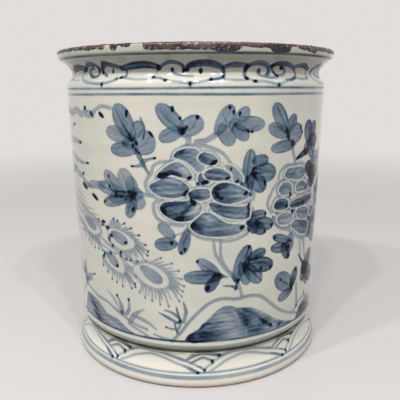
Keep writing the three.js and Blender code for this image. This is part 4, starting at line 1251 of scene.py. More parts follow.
# One bay of the stand's border: a tall arch and a low one, each drawn twice, and the marks where arches cross.
BAY = [
    (2.2, 0.25, (3.2, 15.8), (5.5, 18.6), (8, 22.2), (11, 25.8)),
    ((2.2, 2.8, 2.4), (0.56, 0.4), (10, 25), (14, 28), (18, 28.8), (21, 28.6), (25, 27.5), (29, 25.4), (34, 22.4)),
    ((2.2, 1.8), (0.34, 0.28), (32, 23.4), (36, 20.8), (39.6, 18)),
    ((1.8, 2, 2.2, 1.8), (0.26, 0.33), (5, 13.4), (7, 15.4), (9.5, 18), (12, 20.6), (15, 22.6), (18, 24.6),
     (20.4, 25.2), (23.4, 24.2), (27, 22.2), (31, 19.4), (34.6, 17.4)),
    ((1.8, 2.3, 2), (0.46, 0.72), (34.4, 17.6), (37, 15.6), (40, 12.9)),
    ((2, 3, 3.2, 2.4), (0.5, 0.84), (-5, 22), (-3.2, 24.4), (-1, 27), (1.4, 28.5), (4, 28.5), (6.6, 27.4), (9, 26.2)),
    ((1.8, 2.2, 2), (0.42, 0.54), (-2.8, 20), (-0.8, 21.8), (1, 23.6), (2.4, 24.6), (4, 23.6), (5.6, 22), (6.4, 21)),
    (1.7, 0.52, (0, 17.6), (1.4, 16.6), (2.8, 14.8)),
]
BAY_TOUCHES = [
    (9.3, 26.2, 1.3, 1.9, 60, 1.0),
    (6.4, 21, 1.2, 1.8, 0, 1.0),
    (3, 14.6, 1, 1.2, 60, 1.0),
    (0.2, 12.8, 1, 1.4, 80, 1.0),
]
STAND_BAYS = 9

# Lines round the pot and the stand: height, width, tone.
WALL_RINGS = [(245.2, 1.7, 0.56), (240.5, 1.9, 0.5), (41, 1.7, 0.74), (36.5, 1.6, 0.25)]
NECK_RING = (269.6, 1.5, 0.66)
STAND_RINGS = [(12.7, 1.4, 0.36), (9.1, 2.8, 0.35)]

# Sprays that fill the far side: their stems, then the first and last of the leaves they borrow, and how far
# these move and rise, then where the two sprays stand.
SPRAY_STEMS = [
    (2.4, 0.34, (2, 52), (1, 78), (0, 102), (-1, 128), (1, 152), (2, 178), (0, 196)),
    (2.8, 0.32, (-19, 45), (-12, 52.4), (-4, 55.6), (4, 55), (12, 50), (18, 44.6)),
]
SPRAYS = [(5, 8, 5, -16), (38, 41, 9, 24), (41, 44, -2, 4), (53, 57, -36, 52)]
SPRAY_TURNS = (81, -143)


def wall_painting(sheet):
    """Everything on the wall. The flowers come again on the far side, so that it is as full as the front, and the
    neck's scrolls hang down on to the shoulder."""
    bird_side(sheet)
    rock_side(sheet)
    flower_side(sheet)
    flower_side(sheet, turn=160, flip=True)
    for middle in SPRAY_TURNS:
        lines(sheet, SPRAY_STEMS, turn=middle)
        for first, last, shift, rise in SPRAYS:
            petals(sheet, LEAF_PETALS[first:last], root=ROOT, turn=middle + shift, lift=rise)
        lines(sheet, GRASS[6:12], turn=middle + 12)
    rock_side(sheet, turn=168, flip=True)
    neck_painting(sheet)
    for row in WALL_RINGS:
        ring_line(sheet, *row)


def neck_painting(sheet):
    """Ten scrolls round the neck, none quite like the one beside it, and a dark line under the lip. The last one
    isn't like the first, beside which it comes."""
    last = NECK_SCROLLS - 1
    for k in range(NECK_SCROLLS):
        strokes, touches = SCROLLS[2 if k == last else k % 3]
        move = {"turn": FIRST_SCROLL + 360 / NECK_SCROLLS * k, "lift": 0.25 * math.sin(2.4 * k)}
        lines(sheet, strokes, **move)
        dots(sheet, touches, **move)
    ring_line(sheet, *NECK_RING)


def stand_painting(sheet):
    """Nine bays of crossing arches, over a thin line and a band."""
    for k in range(STAND_BAYS):
        move = {"turn": 360 / STAND_BAYS * k, "lift": 0.2 * math.sin(1.9 * k)}
        lines(sheet, BAY, **move)
        dots(sheet, BAY_TOUCHES, **move)
    for row in STAND_RINGS:
        ring_line(sheet, *row)


def painted(piece, sheet, section_points, columns_used):
    """Gives the piece its painting: ink is how strong the blue is, cover is how far inside a stroke it lies."""
    edge = np.clip(sheet["edge"], BARE, -BARE)
    near = smooth(-0.3, 0.6, edge)
    ink = sheet["spread"] + (sheet["ink"] - sheet["spread"]) * near
    for name, values, rest in (("ink", ink, 0.0), ("cover", edge, BARE)):
        field = np.full((len(columns_used), section_points), rest)
        field[:, : values.shape[1]] = values[columns_used]
        keep_field(piece, name, field)


# ---------------------------------------------------------------- materials


def put(tree, kind, inputs=None, **settings):
    """Adds a node, sets it up, and gives its inputs values or links."""
    made = tree.nodes.new(kind)
    for key, value in settings.items():
        setattr(made, key, value)
    for key, value in (inputs or {}).items():
        if isinstance(value, bpy.types.NodeSocket):
            tree.links.new(value, made.inputs[key])
        else:
            made.inputs[key].default_value = value
    return made


def calc(tree, how, a, b=0.0, c=0.0):
    """One step of arithmetic between sockets or numbers."""
    return put(tree, "ShaderNodeMath", {0: a, 1: b, 2: c}, operation=how).outputs[0]


def blendin(tree, share, a, b):
    """Colour a going over to colour b."""
    return put(tree, "ShaderNodeMix", {0: share, 6: a, 7: b}, data_type="RGBA").outputs[2]


def step_up(tree, value, low, high):
    """0 below low, 1 above high, smooth between. With low above high it steps down."""
    return put(
        tree,
        "ShaderNodeMapRange",
        {"Value": value, "From Min": low, "From Max": high},
        interpolation_type="SMOOTHSTEP",
    ).outputs[0]


def noise(tree, vector, scale, detail=3.0, rough=0.5):
    """Soft noise, from 0 to 1."""
    inputs = {"Vector": vector, "Scale": scale, "Detail": detail, "Roughness": rough}
    return put(tree, "ShaderNodeTexNoise", inputs).outputs[0]


def place_on(tree):
    """Where a point lies in its piece's own coordinates, in metres."""
    return put(tree, "ShaderNodeTexCoord").outputs["Object"]


def height_at(tree, where):
    """The height of a place, in metres."""
    return put(tree, "ShaderNodeSeparateXYZ", {"Vector": where}).outputs["Z"]


def field_on(tree, name):
    """A number that keep_field gave the piece's points."""
    return put(tree, "ShaderNodeAttribute", attribute_name=name).outputs["Fac"]


def new_group(name, inputs, outputs):
    """An empty shader group with named sockets."""
    tree = bpy.data.node_groups.new(name, "ShaderNodeTree")
    kinds = {"value": "NodeSocketFloat", "colour": "NodeSocketColor"}
    for label, kind, start in inputs:
        tree.interface.new_socket(label, in_out="INPUT", socket_type=kinds[kind]).default_value = start
    for label, kind in outputs:
        tree.interface.new_socket(label, in_out="OUTPUT", socket_type=kinds[kind])
    return tree, put(tree, "NodeGroupInput").outputs, put(tree, "NodeGroupOutput").inputs


def cobalt_group():
    """Cobalt under the glaze. Its edge creeps by a fraction of a millimetre, hairs of the brush show in the wash,
    and a breath of blue runs out into the glaze round it."""
    tree, take, give = new_group(
        "cobalt wash",
        [("Ground", "colour", linear(GLAZE)), ("Ink", "value", 0), ("Cover", "value", BARE), ("Creep", "value", 0.5)],
        [("Color", "colour"), ("Blue", "value")],
    )
    where = place_on(tree)
    wander = calc(tree, "SUBTRACT", noise(tree, where, 420, 2.0), 0.5)
    cover = calc(tree, "MULTIPLY_ADD", wander, calc(tree, "MULTIPLY", take["Creep"], 2.0), take["Cover"])
    inside = step_up(tree, cover, -0.55, 0.5)
    halo = calc(tree, "MULTIPLY", step_up(tree, cover, -2.6, 0.2), 0.07)
    mottle = calc(tree, "MULTIPLY_ADD", noise(tree, where, 260, 4.0, 0.6), 0.44, 0.78)
    cloud = calc(tree, "MULTIPLY_ADD", noise(tree, where, 60, 3.0), 0.3, 0.85)
    wash = calc(tree, "MULTIPLY", calc(tree, "MULTIPLY", take["Ink"], mottle), cloud)
    strength = calc(tree, "MAXIMUM", calc(tree, "MULTIPLY", wash, inside), halo)
    ramp = put(tree, "ShaderNodeValToRGB", {"Fac": strength})
    stops = ramp.color_ramp.elements
    while len(stops) < len(WASHES):
        stops.new(0.5)
    for stop, (at, colour) in zip(stops, WASHES):
        stop.position = at
        stop.color = linear(colour)
    shown = step_up(tree, strength, 0.0, WASHES[1][0])
    tree.links.new(blendin(tree, shown, take["Ground"], ramp.outputs[0]), give["Color"])
    tree.links.new(strength, give["Blue"])
    return tree


def glaze_group():
    """Fired glaze: its colour drifts between thin and pooled, a few pinholes and iron specks show, its gloss is
    uneven, and its skin ripples very slightly."""
    tree, take, give = new_group(
        "fired glaze",
        [("Thin", "colour", linear(GLAZE)), ("Pooled", "colour", linear(GLAZE_POOLED)), ("Gloss", "value", 0.1)],
        [("Color", "colour"), ("Roughness", "value"), ("Height", "value")],
    )
    where = place_on(tree)
    drift = step_up(tree, noise(tree, where, 14, 4.0, 0.55), 0.35, 0.7)
    ground = blendin(tree, drift, take["Thin"], take["Pooled"])
    cells = put(tree, "ShaderNodeTexVoronoi", {"Vector": where, "Scale": 95.0}).outputs
    chance = put(tree, "ShaderNodeSeparateColor", {"Color": cells["Color"]}).outputs[0]
    near = step_up(tree, cells["Distance"], 0.11, 0.04)
    speck = calc(tree, "MULTIPLY", near, step_up(tree, chance, 0.93, 0.97))
    tree.links.new(blendin(tree, calc(tree, "MULTIPLY", speck, 0.65), ground, linear(IRON_SPECK)), give["Color"])
    uneven = calc(tree, "MULTIPLY_ADD", noise(tree, where, 35, 3.0), 0.07, take["Gloss"])
    tree.links.new(calc(tree, "ADD", uneven, calc(tree, "MULTIPLY", speck, 0.3)), give["Roughness"])
    fine = calc(tree, "MULTIPLY", noise(tree, where, 330, 2.0), 0.12)
    ripple = calc(tree, "MULTIPLY_ADD", noise(tree, where, 55, 2.0), 0.7, fine)
    tree.links.new(calc(tree, "SUBTRACT", ripple, calc(tree, "MULTIPLY", speck, 0.35)), give["Height"])
    return tree


COBALT = cobalt_group()
FIRED = glaze_group()


def shader(name):
    """A new material, with its tree and its Principled shader."""
    material = bpy.data.materials.new(name)
    material.use_nodes = True
    return material, material.node_tree, material.node_tree.nodes["Principled BSDF"]


def bumped(tree, bsdf, height, strength, distance):
    """Feeds a height, in shares of distance, to the shader's normal."""
    relief = put(tree, "ShaderNodeBump", {"Height": height, "Strength": strength, "Distance": distance})
    tree.links.new(relief.outputs[0], bsdf.inputs["Normal"])


def glazed(name, thin, pooled, painting=True, creep=0.25, bare_below=None, crease_shade_heights=None, lip_shade_heights=None, gleam=1.0):
    """Clear glossy glaze over porcelain, with the cobalt painting where the piece has one: heavy cobalt drinks the
    glaze and shines less. Below the height bare_below the glaze was wiped off, and the fired clay shows in a rusty
    line. Shade is painted into the colour, grey on the neck under the lip and olive grey in the groove where pot
    and stand meet: each is given as the height where it starts to show and the one where it shows in full. Gleam
    is how strongly the glaze mirrors."""
    material, tree, bsdf = shader(name)
    fired = put(tree, "ShaderNodeGroup", node_tree=FIRED)
    for label, value in (("Thin", linear(thin)), ("Pooled", linear(pooled)), ("Gloss", 0.04)):
        fired.inputs[label].default_value = value
    colour = fired.outputs["Color"]
    rough = fired.outputs["Roughness"]
    if lip_shade_heights or bare_below or crease_shade_heights:
        where = place_on(tree)
        height = height_at(tree, where)
    if lip_shade_heights is not None:
        # Painted shade: the colour goes grey on the neck just under the lip, where the lip shades it.
        grey = calc(tree, "MULTIPLY", step_up(tree, height, *lip_shade_heights), 0.42)
        colour = blendin(tree, grey, colour, linear(LIP_SHADE_GREY))
    if painting:
        inputs = {"Ground": colour, "Ink": field_on(tree, "ink"), "Cover": field_on(tree, "cover")}
        wash = put(tree, "ShaderNodeGroup", node_tree=COBALT)
        for label, value in inputs.items():
            tree.links.new(value, wash.inputs[label])
        wash.inputs["Creep"].default_value = creep
        colour = wash.outputs["Color"]
    if bare_below is not None:
        wander = calc(tree, "MULTIPLY_ADD", noise(tree, where, 60, 3.0), 0.0012, height)
        thin_edge = step_up(tree, wander, bare_below + 0.0042, bare_below + 0.0012)
        colour = blendin(tree, calc(tree, "MULTIPLY", thin_edge, 0.5), colour, linear(THIN_EDGE))
        bare = step_up(tree, wander, bare_below + 0.0008, bare_below)
        colour = blendin(tree, bare, colour, linear(WIPED_CLAY))
        rough = calc(tree, "MULTIPLY_ADD", bare, 0.6, rough)
    if crease_shade_heights is not None:
        # Painted shade: the colour darkens to olive grey in the groove where the pot's base meets the stand.
        wander = calc(tree, "MULTIPLY_ADD", noise(tree, where, 90, 3.0), 0.0008, height)
        crease_shade = calc(tree, "MULTIPLY", step_up(tree, wander, *crease_shade_heights), 0.75)
        colour = blendin(tree, crease_shade, colour, linear(CREASE_SHADE_OLIVE))
    tree.links.new(colour, bsdf.inputs["Base Color"])
    tree.links.new(rough, bsdf.inputs["Roughness"])
    bsdf.inputs["IOR"].default_value = 1.5
    bsdf.inputs["Specular IOR Level"].default_value = 0.05
    bsdf.inputs["Coat Weight"].default_value = gleam
    bsdf.inputs["Coat Roughness"].default_value = 0.04
    bsdf.inputs["Coat IOR"].default_value = 1.6
    if painting:
        sunk = calc(tree, "MULTIPLY", step_up(tree, wash.outputs["Blue"], 0.2, 0.95), 0.9 * gleam)
        tree.links.new(calc(tree, "SUBTRACT", gleam, sunk), bsdf.inputs["Coat Weight"])
    bumped(tree, bsdf, fired.outputs["Height"], 0.35, 0.0004)
    return material


def iron_brown():
    """The dressing on the lip: iron slip, near black where it lies heavy and, as painted shade, where it turns under
    the lip; worn to a dust-brown on top, with the white body grinning through in flecks."""
    material, tree, bsdf = shader("iron brown dressing")
    where = place_on(tree)
    patchy = step_up(tree, noise(tree, where, 70, 5.0, 0.65), 0.36, 0.66)
    colour = blendin(tree, patchy, linear(SLIP_DARK), linear(SLIP_WORN))
    # Near black where the dressing turns under the lip: heavy slip, and painted shade.
    heavy_slip_and_shade = calc(tree, "MULTIPLY", field_on(tree, "heavy_slip_and_shade"), 0.85)
    colour = blendin(tree, heavy_slip_and_shade, colour, linear(SLIP_HEAVY_AND_SHADED))
    worn = calc(tree, "MULTIPLY", step_up(tree, noise(tree, where, 420, 4.0, 0.7), 0.57, 0.67), 0.85)
    colour = blendin(tree, worn, colour, linear(BODY_FLECK))
    tree.links.new(colour, bsdf.inputs["Base Color"])
    tree.links.new(calc(tree, "MULTIPLY_ADD", patchy, 0.2, 0.2), bsdf.inputs["Roughness"])
    bumped(tree, bsdf, noise(tree, where, 300, 5.0, 0.65), 0.6, 0.0005)
    return material


def bare_clay():
    """Unglazed body: sandy, with a rust blush and kiln grit."""
    material, tree, bsdf = shader("biscuit clay")
    where = place_on(tree)
    blush = step_up(tree, noise(tree, where, 26, 5.0, 0.6), 0.4, 0.68)
    colour = blendin(tree, blush, linear(CLAY), linear(CLAY_BLUSH))
    grit = step_up(tree, noise(tree, where, 700, 3.0, 0.6), 0.62, 0.7)
    colour = blendin(tree, calc(tree, "MULTIPLY", grit, 0.6), colour, linear(CLAY_GRIT))
    tree.links.new(colour, bsdf.inputs["Base Color"])
    tree.links.new(calc(tree, "MULTIPLY_ADD", blush, 0.1, 0.78), bsdf.inputs["Roughness"])
    bumped(tree, bsdf, noise(tree, where, 520, 5.0, 0.7), 0.5, 0.0006)
    return material


# ---------------------------------------------------------------- the pot and its stand

FIRST_TURN = -90  # the painted skins start and end at the left
turns_round = FIRST_TURN + np.arange(COLUMNS) * 360 / COLUMNS


def hand_turned(turns, section):
    """Throwing lines and a little warp, as sines of the height and the turn: the wall is up to 0.2 mm out of true,
    and least at its two ends."""
    a = np.radians(turns)[:, None]
    h = section[None, :, 1]
    free = smooth(BASE_OF_POT + 4, BASE_OF_POT + 20, h) * (1 - smooth(JOINT_OF_NECK - 22, JOINT_OF_NECK - 6, h))
    wave = 0.07 * np.sin(h / 3.1 + a) + 0.06 * np.sin(h / 9.7 - 2 * a) + 0.09 * np.sin(2 * a + h / 60)
    return free * wave


wall_outside = evenly(chain(
    bend((110.6, BASE_OF_POT), (112.4, 29.4), (113.3, 31)),
    bend((113.3, 31), (116.1, 33.6), (116.7, 35.2), 8),
    bend((116.7, 35.2), (117.5, 36.6), (116.9, 38.2), 10),
    (SHOULDER_RADIUS, SHOULDER),
    bend((SHOULDER_RADIUS, SHOULDER), (SHOULDER_RADIUS, 249.3), (JOINT_RADIUS, JOINT_OF_NECK)),
), ROW)
wall_inside = chain(
    (JOINT_BORE, JOINT_OF_NECK),
    bend((JOINT_BORE, JOINT_OF_NECK), (WALL_BORE, 248.5), (WALL_BORE, 244), 5),
    evenly([(WALL_BORE, 244), (109.8, 46.1)], 14),
    bend((109.8, 46.1), (109.8, FLOOR_OF_POT), (FLOOR_RADIUS, FLOOR_OF_POT), 8),
    (FLOOR_RADIUS, BASE_OF_POT),
)
wall_section = np.vstack([wall_outside, wall_inside])
wall_sheet = blank(turns_round, wall_outside[:, 1])
wall_painting(wall_sheet)

# The wall's skin is made in three arcs of a third of a turn, to keep each of them light.
WALL_ARCS = ("wall_front", "wall_right", "wall_left")
arc = 360 // len(WALL_ARCS)
arc_columns = COLUMNS // len(WALL_ARCS)
wall_pieces = []
for k, piece_name in enumerate(WALL_ARCS):
    first_turn = arc * k - arc // 2
    used = (int(np.argmin(np.abs(turns_round - first_turn))) + np.arange(arc_columns + 1)) % COLUMNS
    piece = turned(piece_name, wall_section, arc_columns, first_turn, span=arc, push=hand_turned)
    painted(piece, wall_sheet, len(wall_section), used)
    wall_pieces.append(piece)


def painted_ring(name, outside, inside, painting):
    """A whole turn of a section whose outside is painted."""
    section = np.vstack([outside, inside])
    sheet = blank(turns_round, outside[:, 1])
    painting(sheet)
    piece = turned(name, section, COLUMNS, FIRST_TURN)
    painted(piece, sheet, len(section), np.arange(COLUMNS))
    return piece


neck_outside = evenly(chain(
    bend((JOINT_RADIUS, JOINT_OF_NECK), (WAIST_RADIUS, 255.2), (WAIST_RADIUS, WAIST_OF_NECK)),
    sweep((WAIST_RADIUS, WAIST_OF_NECK), (WAIST_RADIUS, 263.4), (121.95, 267), (125.55, 270)),
    bend((125.55, 270), (LIP_RADIUS, 270.6), (LIP_RADIUS, 272)),
), FINE_ROW)
outer_arris, inner_arris = (LIP_RADIUS, TOP_OF_LIP - LIP_ROUND), (MOUTH_BORE, TOP_OF_LIP - LIP_ROUND)
lip_outer, lip_inner = (LIP_RADIUS - LIP_ROUND, TOP_OF_LIP), (MOUTH_BORE + LIP_ROUND, TOP_OF_LIP)
neck_inside = chain(
    outer_arris,
    bend(outer_arris, (LIP_RADIUS, TOP_OF_LIP), lip_outer, 5),
    lip_inner,
    bend(lip_inner, (MOUTH_BORE, TOP_OF_LIP), inner_arris, 5),
    (116.6, 271.1),
    bend((116.6, 271.1), (WAIST_BORE, 264), (WAIST_BORE, WAIST_OF_NECK), 9),
    bend((WAIST_BORE, WAIST_OF_NECK), (WAIST_BORE, 254), (JOINT_BORE, JOINT_OF_NECK), 6),
)
neck = painted_ring("neck_and_lip", neck_outside, neck_inside, neck_painting)

# How far the dressing runs down outside the lip, below its top, at each turn: turn and run.
DRESSING_RUNS = [
    (-180, 3.0), (-150, 3.6), (-120, 2.8), (-95, 3.4), (-78, 2.6), (-65, 2.4), (-55, 2.6), (-48, 2.3), (-43, 2.8),
    (-40, 3.3), (-37, 2.7), (-34.5, 3.2), (-32.6, 2.8), (-31.9, 0.3), (-30.1, 0.2), (-29.6, 4.2), (-28.2, 4.6),
    (-27.4, 3.8), (-26.8, 0.9), (-25.6, 0.6), (-25.2, 2.2), (-23.4, 2.6), (-22.2, 2.2), (-21.6, 0.3), (-19.5, -0.4),
    (-17.6, 0.2), (-17.1, 4.6), (-15, 5.0), (-12, 4.6), (-9, 5.2), (-6, 4.8), (-3, 5.1), (0, 4.8), (3, 5.2),
    (6, 5.4), (8, 6.7), (10.5, 7.1), (12.6, 6.6), (14.2, 4.6), (15.2, 2.9), (17.4, 2.8), (18.4, 3.3), (22, 3.1),
    (25.4, 3.5), (26.6, 5.6), (29, 6.9), (31.6, 6.8), (33.8, 5), (34.6, 1.4), (37.6, 1.2), (38.4, 3), (42, 3.2),
    (45, 4.6), (47.5, 5.2), (50, 3.4), (55, 2.8), (62, 3.6), (70, 2.8), (80, 3.2), (95, 2.6), (112, 3.1),
    (116, 1.0), (120, 0.9), (123, 3), (150, 3.4), (168, 2.8), (171, 0.9), (174, 1.1), (176, 3), (180, 3.0),
]


def dressing():
    """The iron-brown dressing: a skin along the lip's outline, from inside the mouth, over the top and down the
    outer edge as far as it runs at each place. At each point of the outline it stands out square to it by
    0.04 + 0.7 lump sqrt(1 - |2 share - 1|^7) mm: it thins to nothing at both ends and is lumpy between."""
    turns = np.arange(DRESSING_COLUMNS) * 360 / DRESSING_COLUMNS - 180
    a = np.radians(turns)[:, None]
    outline = chain(
        (117.51, 272.5), inner_arris,
        bend(inner_arris, (MOUTH_BORE, TOP_OF_LIP), lip_inner, 6),
        lip_outer,
        bend(lip_outer, (LIP_RADIUS, TOP_OF_LIP), outer_arris, 6),
        (LIP_RADIUS, 271.6),
        bend((LIP_RADIUS, 271.6), (LIP_RADIUS, 270.5), (125.5, 270), 5),
        (121.5, 267),
    )
    run = walked_length(outline)
    tangent = np.gradient(outline, run, axis=0)
    tangent /= np.hypot(*tangent.T)[:, None]
    arris = run[np.argmin(np.hypot(*(outline - outer_arris).T))]
    known = np.array(DRESSING_RUNS)
    ragged = 0.22 * np.sin(53 * a + 1) + 0.16 * np.sin(97 * a + 2) + 0.1 * np.sin(151 * a)
    down = np.interp(turns, known[:, 0], known[:, 1])[:, None] + ragged
    last = arris + down - LIP_ROUND
    first = 0.5 + 0.35 * np.sin(9 * a) + 0.25 * np.sin(23 * a + 2)
    share = np.linspace(0, 1, 19)
    at = first + (last - first) * share
    r, h = (np.interp(at, run, outline[:, k]) for k in (0, 1))
    tr, th = (np.interp(at, run, tangent[:, k]) for k in (0, 1))
    size = np.hypot(tr, th)
    lump = 0.78 + 0.12 * np.sin(37 * a + 5 * share) + 0.1 * np.sin(71 * a - 9 * share)
    taper = np.sqrt(np.clip(1 - np.abs(2 * share - 1) ** 7, 0, 1))
    stands_out = 0.04 + 0.7 * lump * taper
    out_r, out_h = r - th / size * stands_out, h + tr / size * stands_out
    in_r, in_h = r + th / size * 0.05, h - tr / size * 0.05
    radius, height = (np.concatenate([o[:, ::-1], i], 1) for o, i in ((out_r, in_r), (out_h, in_h)))
    n = radius.shape[1]
    this, row = np.arange(DRESSING_COLUMNS)[:, None], np.arange(n)[None, :]
    quads = faces_between(this, (this + 1) % DRESSING_COLUMNS, row, (row + 1) % n, n)
    piece = into_mesh("lip_dressing_skin", carried_round(radius, height, turns).reshape(-1, 3), quads)
    # Near black along the lower edge of runs longer than about 4 mm, and over the lower part of runs past about 6 mm:
    # heavy slip, and painted shade where the dressing turns under the lip.
    edge = smooth(-0.5, 1.2, 1.5 - np.abs(last - at)) * smooth(2.6, 4.4, down)
    drip = smooth(0.6, 2.6, at - arris + LIP_ROUND) * smooth(5.2, 6.2, down)
    slip_and_shade = np.maximum(edge, drip)
    keep_field(piece, "heavy_slip_and_shade", np.concatenate([slip_and_shade[:, ::-1], slip_and_shade], 1))
    return piece


dressing_piece = dressing()

floor_section = np.vstack([
    [(0, 30.9)],
    evenly(bend((0, 30.9), (FOOT_BORE / 2, 30.9), (FOOT_BORE, BASE_OF_POT)), 12)[1:],
    [(FLOOR_RADIUS, BASE_OF_POT), (FLOOR_RADIUS, FLOOR_OF_POT)],
    evenly([(FLOOR_RADIUS, FLOOR_OF_POT), (0, FLOOR_OF_POT)], 8)[1:],
])
floor_piece = turned("floor_slab", floor_section, SLAB_COLUMNS)

TOP_OF_FOOT = BASE_OF_POT - 0.05  # just clear of the floor it is luted to
foot_section = chain(
    bend((95.6, FOOT_BOTTOM), (97.3, FOOT_BOTTOM), (FOOT_RADIUS, 25), 6),
    (FOOT_RADIUS, TOP_OF_FOOT),
    (FOOT_BORE, TOP_OF_FOOT),
    bend((FOOT_BORE, 25), (89.7, FOOT_BOTTOM), (91.4, FOOT_BOTTOM), 6),
)
foot_piece = turned("foot_ring", foot_section, PLAIN_COLUMNS)

skirt_outside = evenly(chain(
    bend((117.9, 0), (119.9, 0), (120.7, 2.6), 10),
    bend((120.7, 2.6), (121.1, 4.5), (120.43, 7.2), 10),
    sweep((120.43, 7.2), (118.7, 12.1), (114.3, 17), (STAND_RADIUS, 23.5), 24),
    (STAND_RADIUS, 26.6),
    bend((STAND_RADIUS, 26.6), (STAND_RADIUS, 28.9), (111.2, TOP_OF_STAND), 10),
), FINE_ROW)
skirt_inside = np.vstack([
    [(STAND_BORE, TOP_OF_STAND), (STAND_BORE, 23.5)],
    sweep((STAND_BORE, 23.5), (STAND_BORE, 15.3), (111.6, 3.6), (112.9, 0), 12)[1:],
])
skirt = painted_ring("stand_skirt_skin", skirt_outside, skirt_inside, stand_painting)

seat_section = [
    (SEAT_BORE + 1, 24), (STAND_BORE, 24), (STAND_BORE, TOP_OF_STAND),
    (SEAT_BORE + 1, TOP_OF_STAND), (SEAT_BORE, TOP_OF_STAND - 1), (SEAT_BORE, 25),
]
seat_piece = turned("stand_seat_ledge", seat_section, PLAIN_COLUMNS)

# The heights after the glaze colours set where shade is painted into the colour: by the join of pot and stand, and on
# the neck just under the lip.
porcelain = glazed("painted porcelain", GLAZE, GLAZE_POOLED, crease_shade_heights=(0.0386, 0.0326))
neck_porcelain = glazed(
    "painted neck porcelain", GLAZE, GLAZE_POOLED, creep=0.2, lip_shade_heights=(0.2570, 0.2605), gleam=0.75
)
stand_porcelain = glazed(
    "painted stand porcelain", STAND_GLAZE, GLAZE, creep=0.2, bare_below=0.0016, crease_shade_heights=(0.0262, 0.0286)
)
plain_porcelain = glazed("plain porcelain", GLAZE, GLAZE_POOLED, painting=False)
plain_stand = glazed("plain stand porcelain", STAND_GLAZE, GLAZE, painting=False)
brown = iron_brown()
clay = bare_clay()

for piece, material, body, slot, nodes in (
    *[(piece, porcelain, "jardiniere", "porcelain", ["pot_wall"]) for piece in wall_pieces],
    (neck, neck_porcelain, "jardiniere", "porcelain", ["pot_neck"]),
    (dressing_piece, brown, "jardiniere", "iron_brown", ["lip_dressing"]),
    (floor_piece, plain_porcelain, "jardiniere", "porcelain", ["pot_floor"]),
    (foot_piece, clay, "jardiniere", "biscuit", ["pot_foot_ring"]),
    (skirt, stand_porcelain, "stand", "stand_porcelain", ["stand_skirt"]),
    (seat_piece, plain_stand, "stand", "stand_porcelain", ["stand_seat"]),
):
    piece.data.materials.append(material)
    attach(piece, body)
    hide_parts(*nodes)

# ---------------------------------------------------------------- floor, light and camera


def seen_directly(tree):
    """1 for what the camera sees, in a reflection or through glass too, and 0 for light that falls on things."""
    ray = put(tree, "ShaderNodeLightPath").outputs
    seen = calc(tree, "MAXIMUM", ray["Is Camera Ray"], ray["Is Glossy Ray"])
    return calc(tree, "MAXIMUM", seen, ray["Is Transmission Ray"])


FLOOR_REACH = 6.0
FLOOR_CELLS = 40
across = np.linspace(-FLOOR_REACH, FLOOR_REACH, FLOOR_CELLS + 1)
floor_x, floor_y = np.meshgrid(across, across, indexing="ij")
floor_points = np.stack([floor_x, floor_y, np.zeros_like(floor_x)], -1).reshape(-1, 3) / MM
cell = np.arange(FLOOR_CELLS)
floor_quads = faces_between(cell[:, None], cell[:, None] + 1, cell[None, :], cell[None, :] + 1, FLOOR_CELLS + 1)
stage_floor = into_mesh("stage_floor", floor_points, floor_quads)

# The floor goes over to the backdrop's own glow from 0.45 m out to 1.7 m.
floor_material, floor_tree, floor_bsdf = shader("pale floor")
floor_bsdf.inputs["Roughness"].default_value = 0.45
reach = put(floor_tree, "ShaderNodeVectorMath", {0: place_on(floor_tree)}, operation="LENGTH").outputs["Value"]
far = step_up(floor_tree, reach, 0.45, 1.7)
seen = seen_directly(floor_tree)
floor_colour = blendin(floor_tree, seen, linear(FLOOR_IN_LIGHT), linear(FLOOR_SEEN))
floor_tree.links.new(floor_colour, floor_bsdf.inputs["Base Color"])
glow = put(floor_tree, "ShaderNodeEmission", {"Color": linear(BACKDROP), "Strength": 1.0})
glowing = calc(floor_tree, "MULTIPLY", far, seen)
mix = put(floor_tree, "ShaderNodeMixShader", {0: glowing, 1: floor_bsdf.outputs[0], 2: glow.outputs[0]})
floor_tree.links.new(mix.outputs[0], floor_tree.nodes["Material Output"].inputs["Surface"])
stage_floor.data.materials.append(floor_material)

world = bpy.data.worlds.new("studio")
bpy.context.scene.world = world
world.use_nodes = True
world_tree = world.node_tree
world_tree.nodes.clear()
ambient = put(world_tree, "ShaderNodeBackground", {"Color": (0.98, 0.99, 1.0, 1), "Strength": 0.52})
backdrop = put(world_tree, "ShaderNodeBackground", {"Color": linear(BACKDROP), "Strength": 1.0})
sky_inputs = {0: seen_directly(world_tree), 1: ambient.outputs[0], 2: backdrop.outputs[0]}
sky = put(world_tree, "ShaderNodeMixShader", sky_inputs)
put(world_tree, "ShaderNodeOutputWorld", {"Surface": sky.outputs[0]})


def lamp(name, place, aim, size, power):
    """A rectangular soft lamp at place, facing aim, of size (width, height) in metres."""
    data = bpy.data.lights.new(name, "AREA")
    data.shape = "RECTANGLE"
    data.size, data.size_y = size
    data.energy = power
    made = bpy.data.objects.new(name, data)
    bpy.context.scene.collection.objects.link(made)
    z = np.array(place, float) - np.array(aim, float)
    z /= np.linalg.norm(z)
    x = np.cross((0, 0, 1), z)
    x /= np.linalg.norm(x)
    y = np.cross(z, x)
    made.matrix_world = Matrix([(*r, p) for r, p in zip(np.stack([x, y, z], 1), place)] + [(0, 0, 0, 1)])


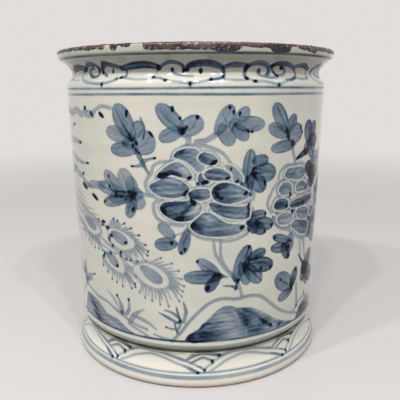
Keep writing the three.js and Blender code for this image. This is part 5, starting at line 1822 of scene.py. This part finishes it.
# Small ceiling lamps in front of the pot, stronger to its left: turn and power in watts. They hang on a circle
# at one distance from the place they all face.
CEILING_LAMPS = [(-50, 6.8), (-28, 6.8), (-12, 4.8), (0, 3.8), (18, 5.2), (27, 5.2)]
LAMP_SIZE = (0.08, 0.055)
LAMP_AIM = (0, 0, 0.2)
LAMP_DISTANCE = 1.8
LAMP_ELEVATION = math.radians(50)
lamp_reach = LAMP_DISTANCE * math.cos(LAMP_ELEVATION)
lamp_height = LAMP_AIM[2] + LAMP_DISTANCE * math.sin(LAMP_ELEVATION)
for k, (turn, power) in enumerate(CEILING_LAMPS):
    a = math.radians(turn)
    hangs_at = (lamp_reach * math.sin(a), -lamp_reach * math.cos(a), lamp_height)
    lamp(f"ceiling_lamp_{k}", hangs_at, LAMP_AIM, LAMP_SIZE, power)

# The camera: where it stands and how it is tilted, fitted to the pot's rings and outline.
FOCAL = 493.8  # in pixels of a frame 400 wide
FRAME_WIDTH = 400
SENSOR = 36.0
PITCH, YAW, ROLL = (math.radians(v) for v in (12.65, 0.42, -0.22))
CAMERA_PLACE = (0.0, -0.4889, 0.24432)

cp, sp, cy, sy, cr, sr = (f(v) for v in (PITCH, YAW, ROLL) for f in (math.cos, math.sin))
up = np.array([0, 0, 1.0])
level_forward = np.array([sy, cy, 0])
level_right = np.array([cy, -sy, 0])
tilted_down = -(sp * level_forward + cp * up)
forward = cp * level_forward - sp * up
right = cr * level_right - sr * tilted_down
down = sr * level_right + cr * tilted_down
camera_data = bpy.data.cameras.new("camera")
camera_data.sensor_width = SENSOR
camera_data.lens = FOCAL / FRAME_WIDTH * SENSOR
camera_data.clip_start = 0.01
camera = bpy.data.objects.new("camera", camera_data)
bpy.context.scene.collection.objects.link(camera)
camera_rows = [(right[k], -down[k], -forward[k], CAMERA_PLACE[k]) for k in range(3)]
camera.matrix_world = Matrix([*camera_rows, (0, 0, 0, 1)])
bpy.context.scene.camera = camera
bpy.context.scene.view_settings.view_transform = "Standard"
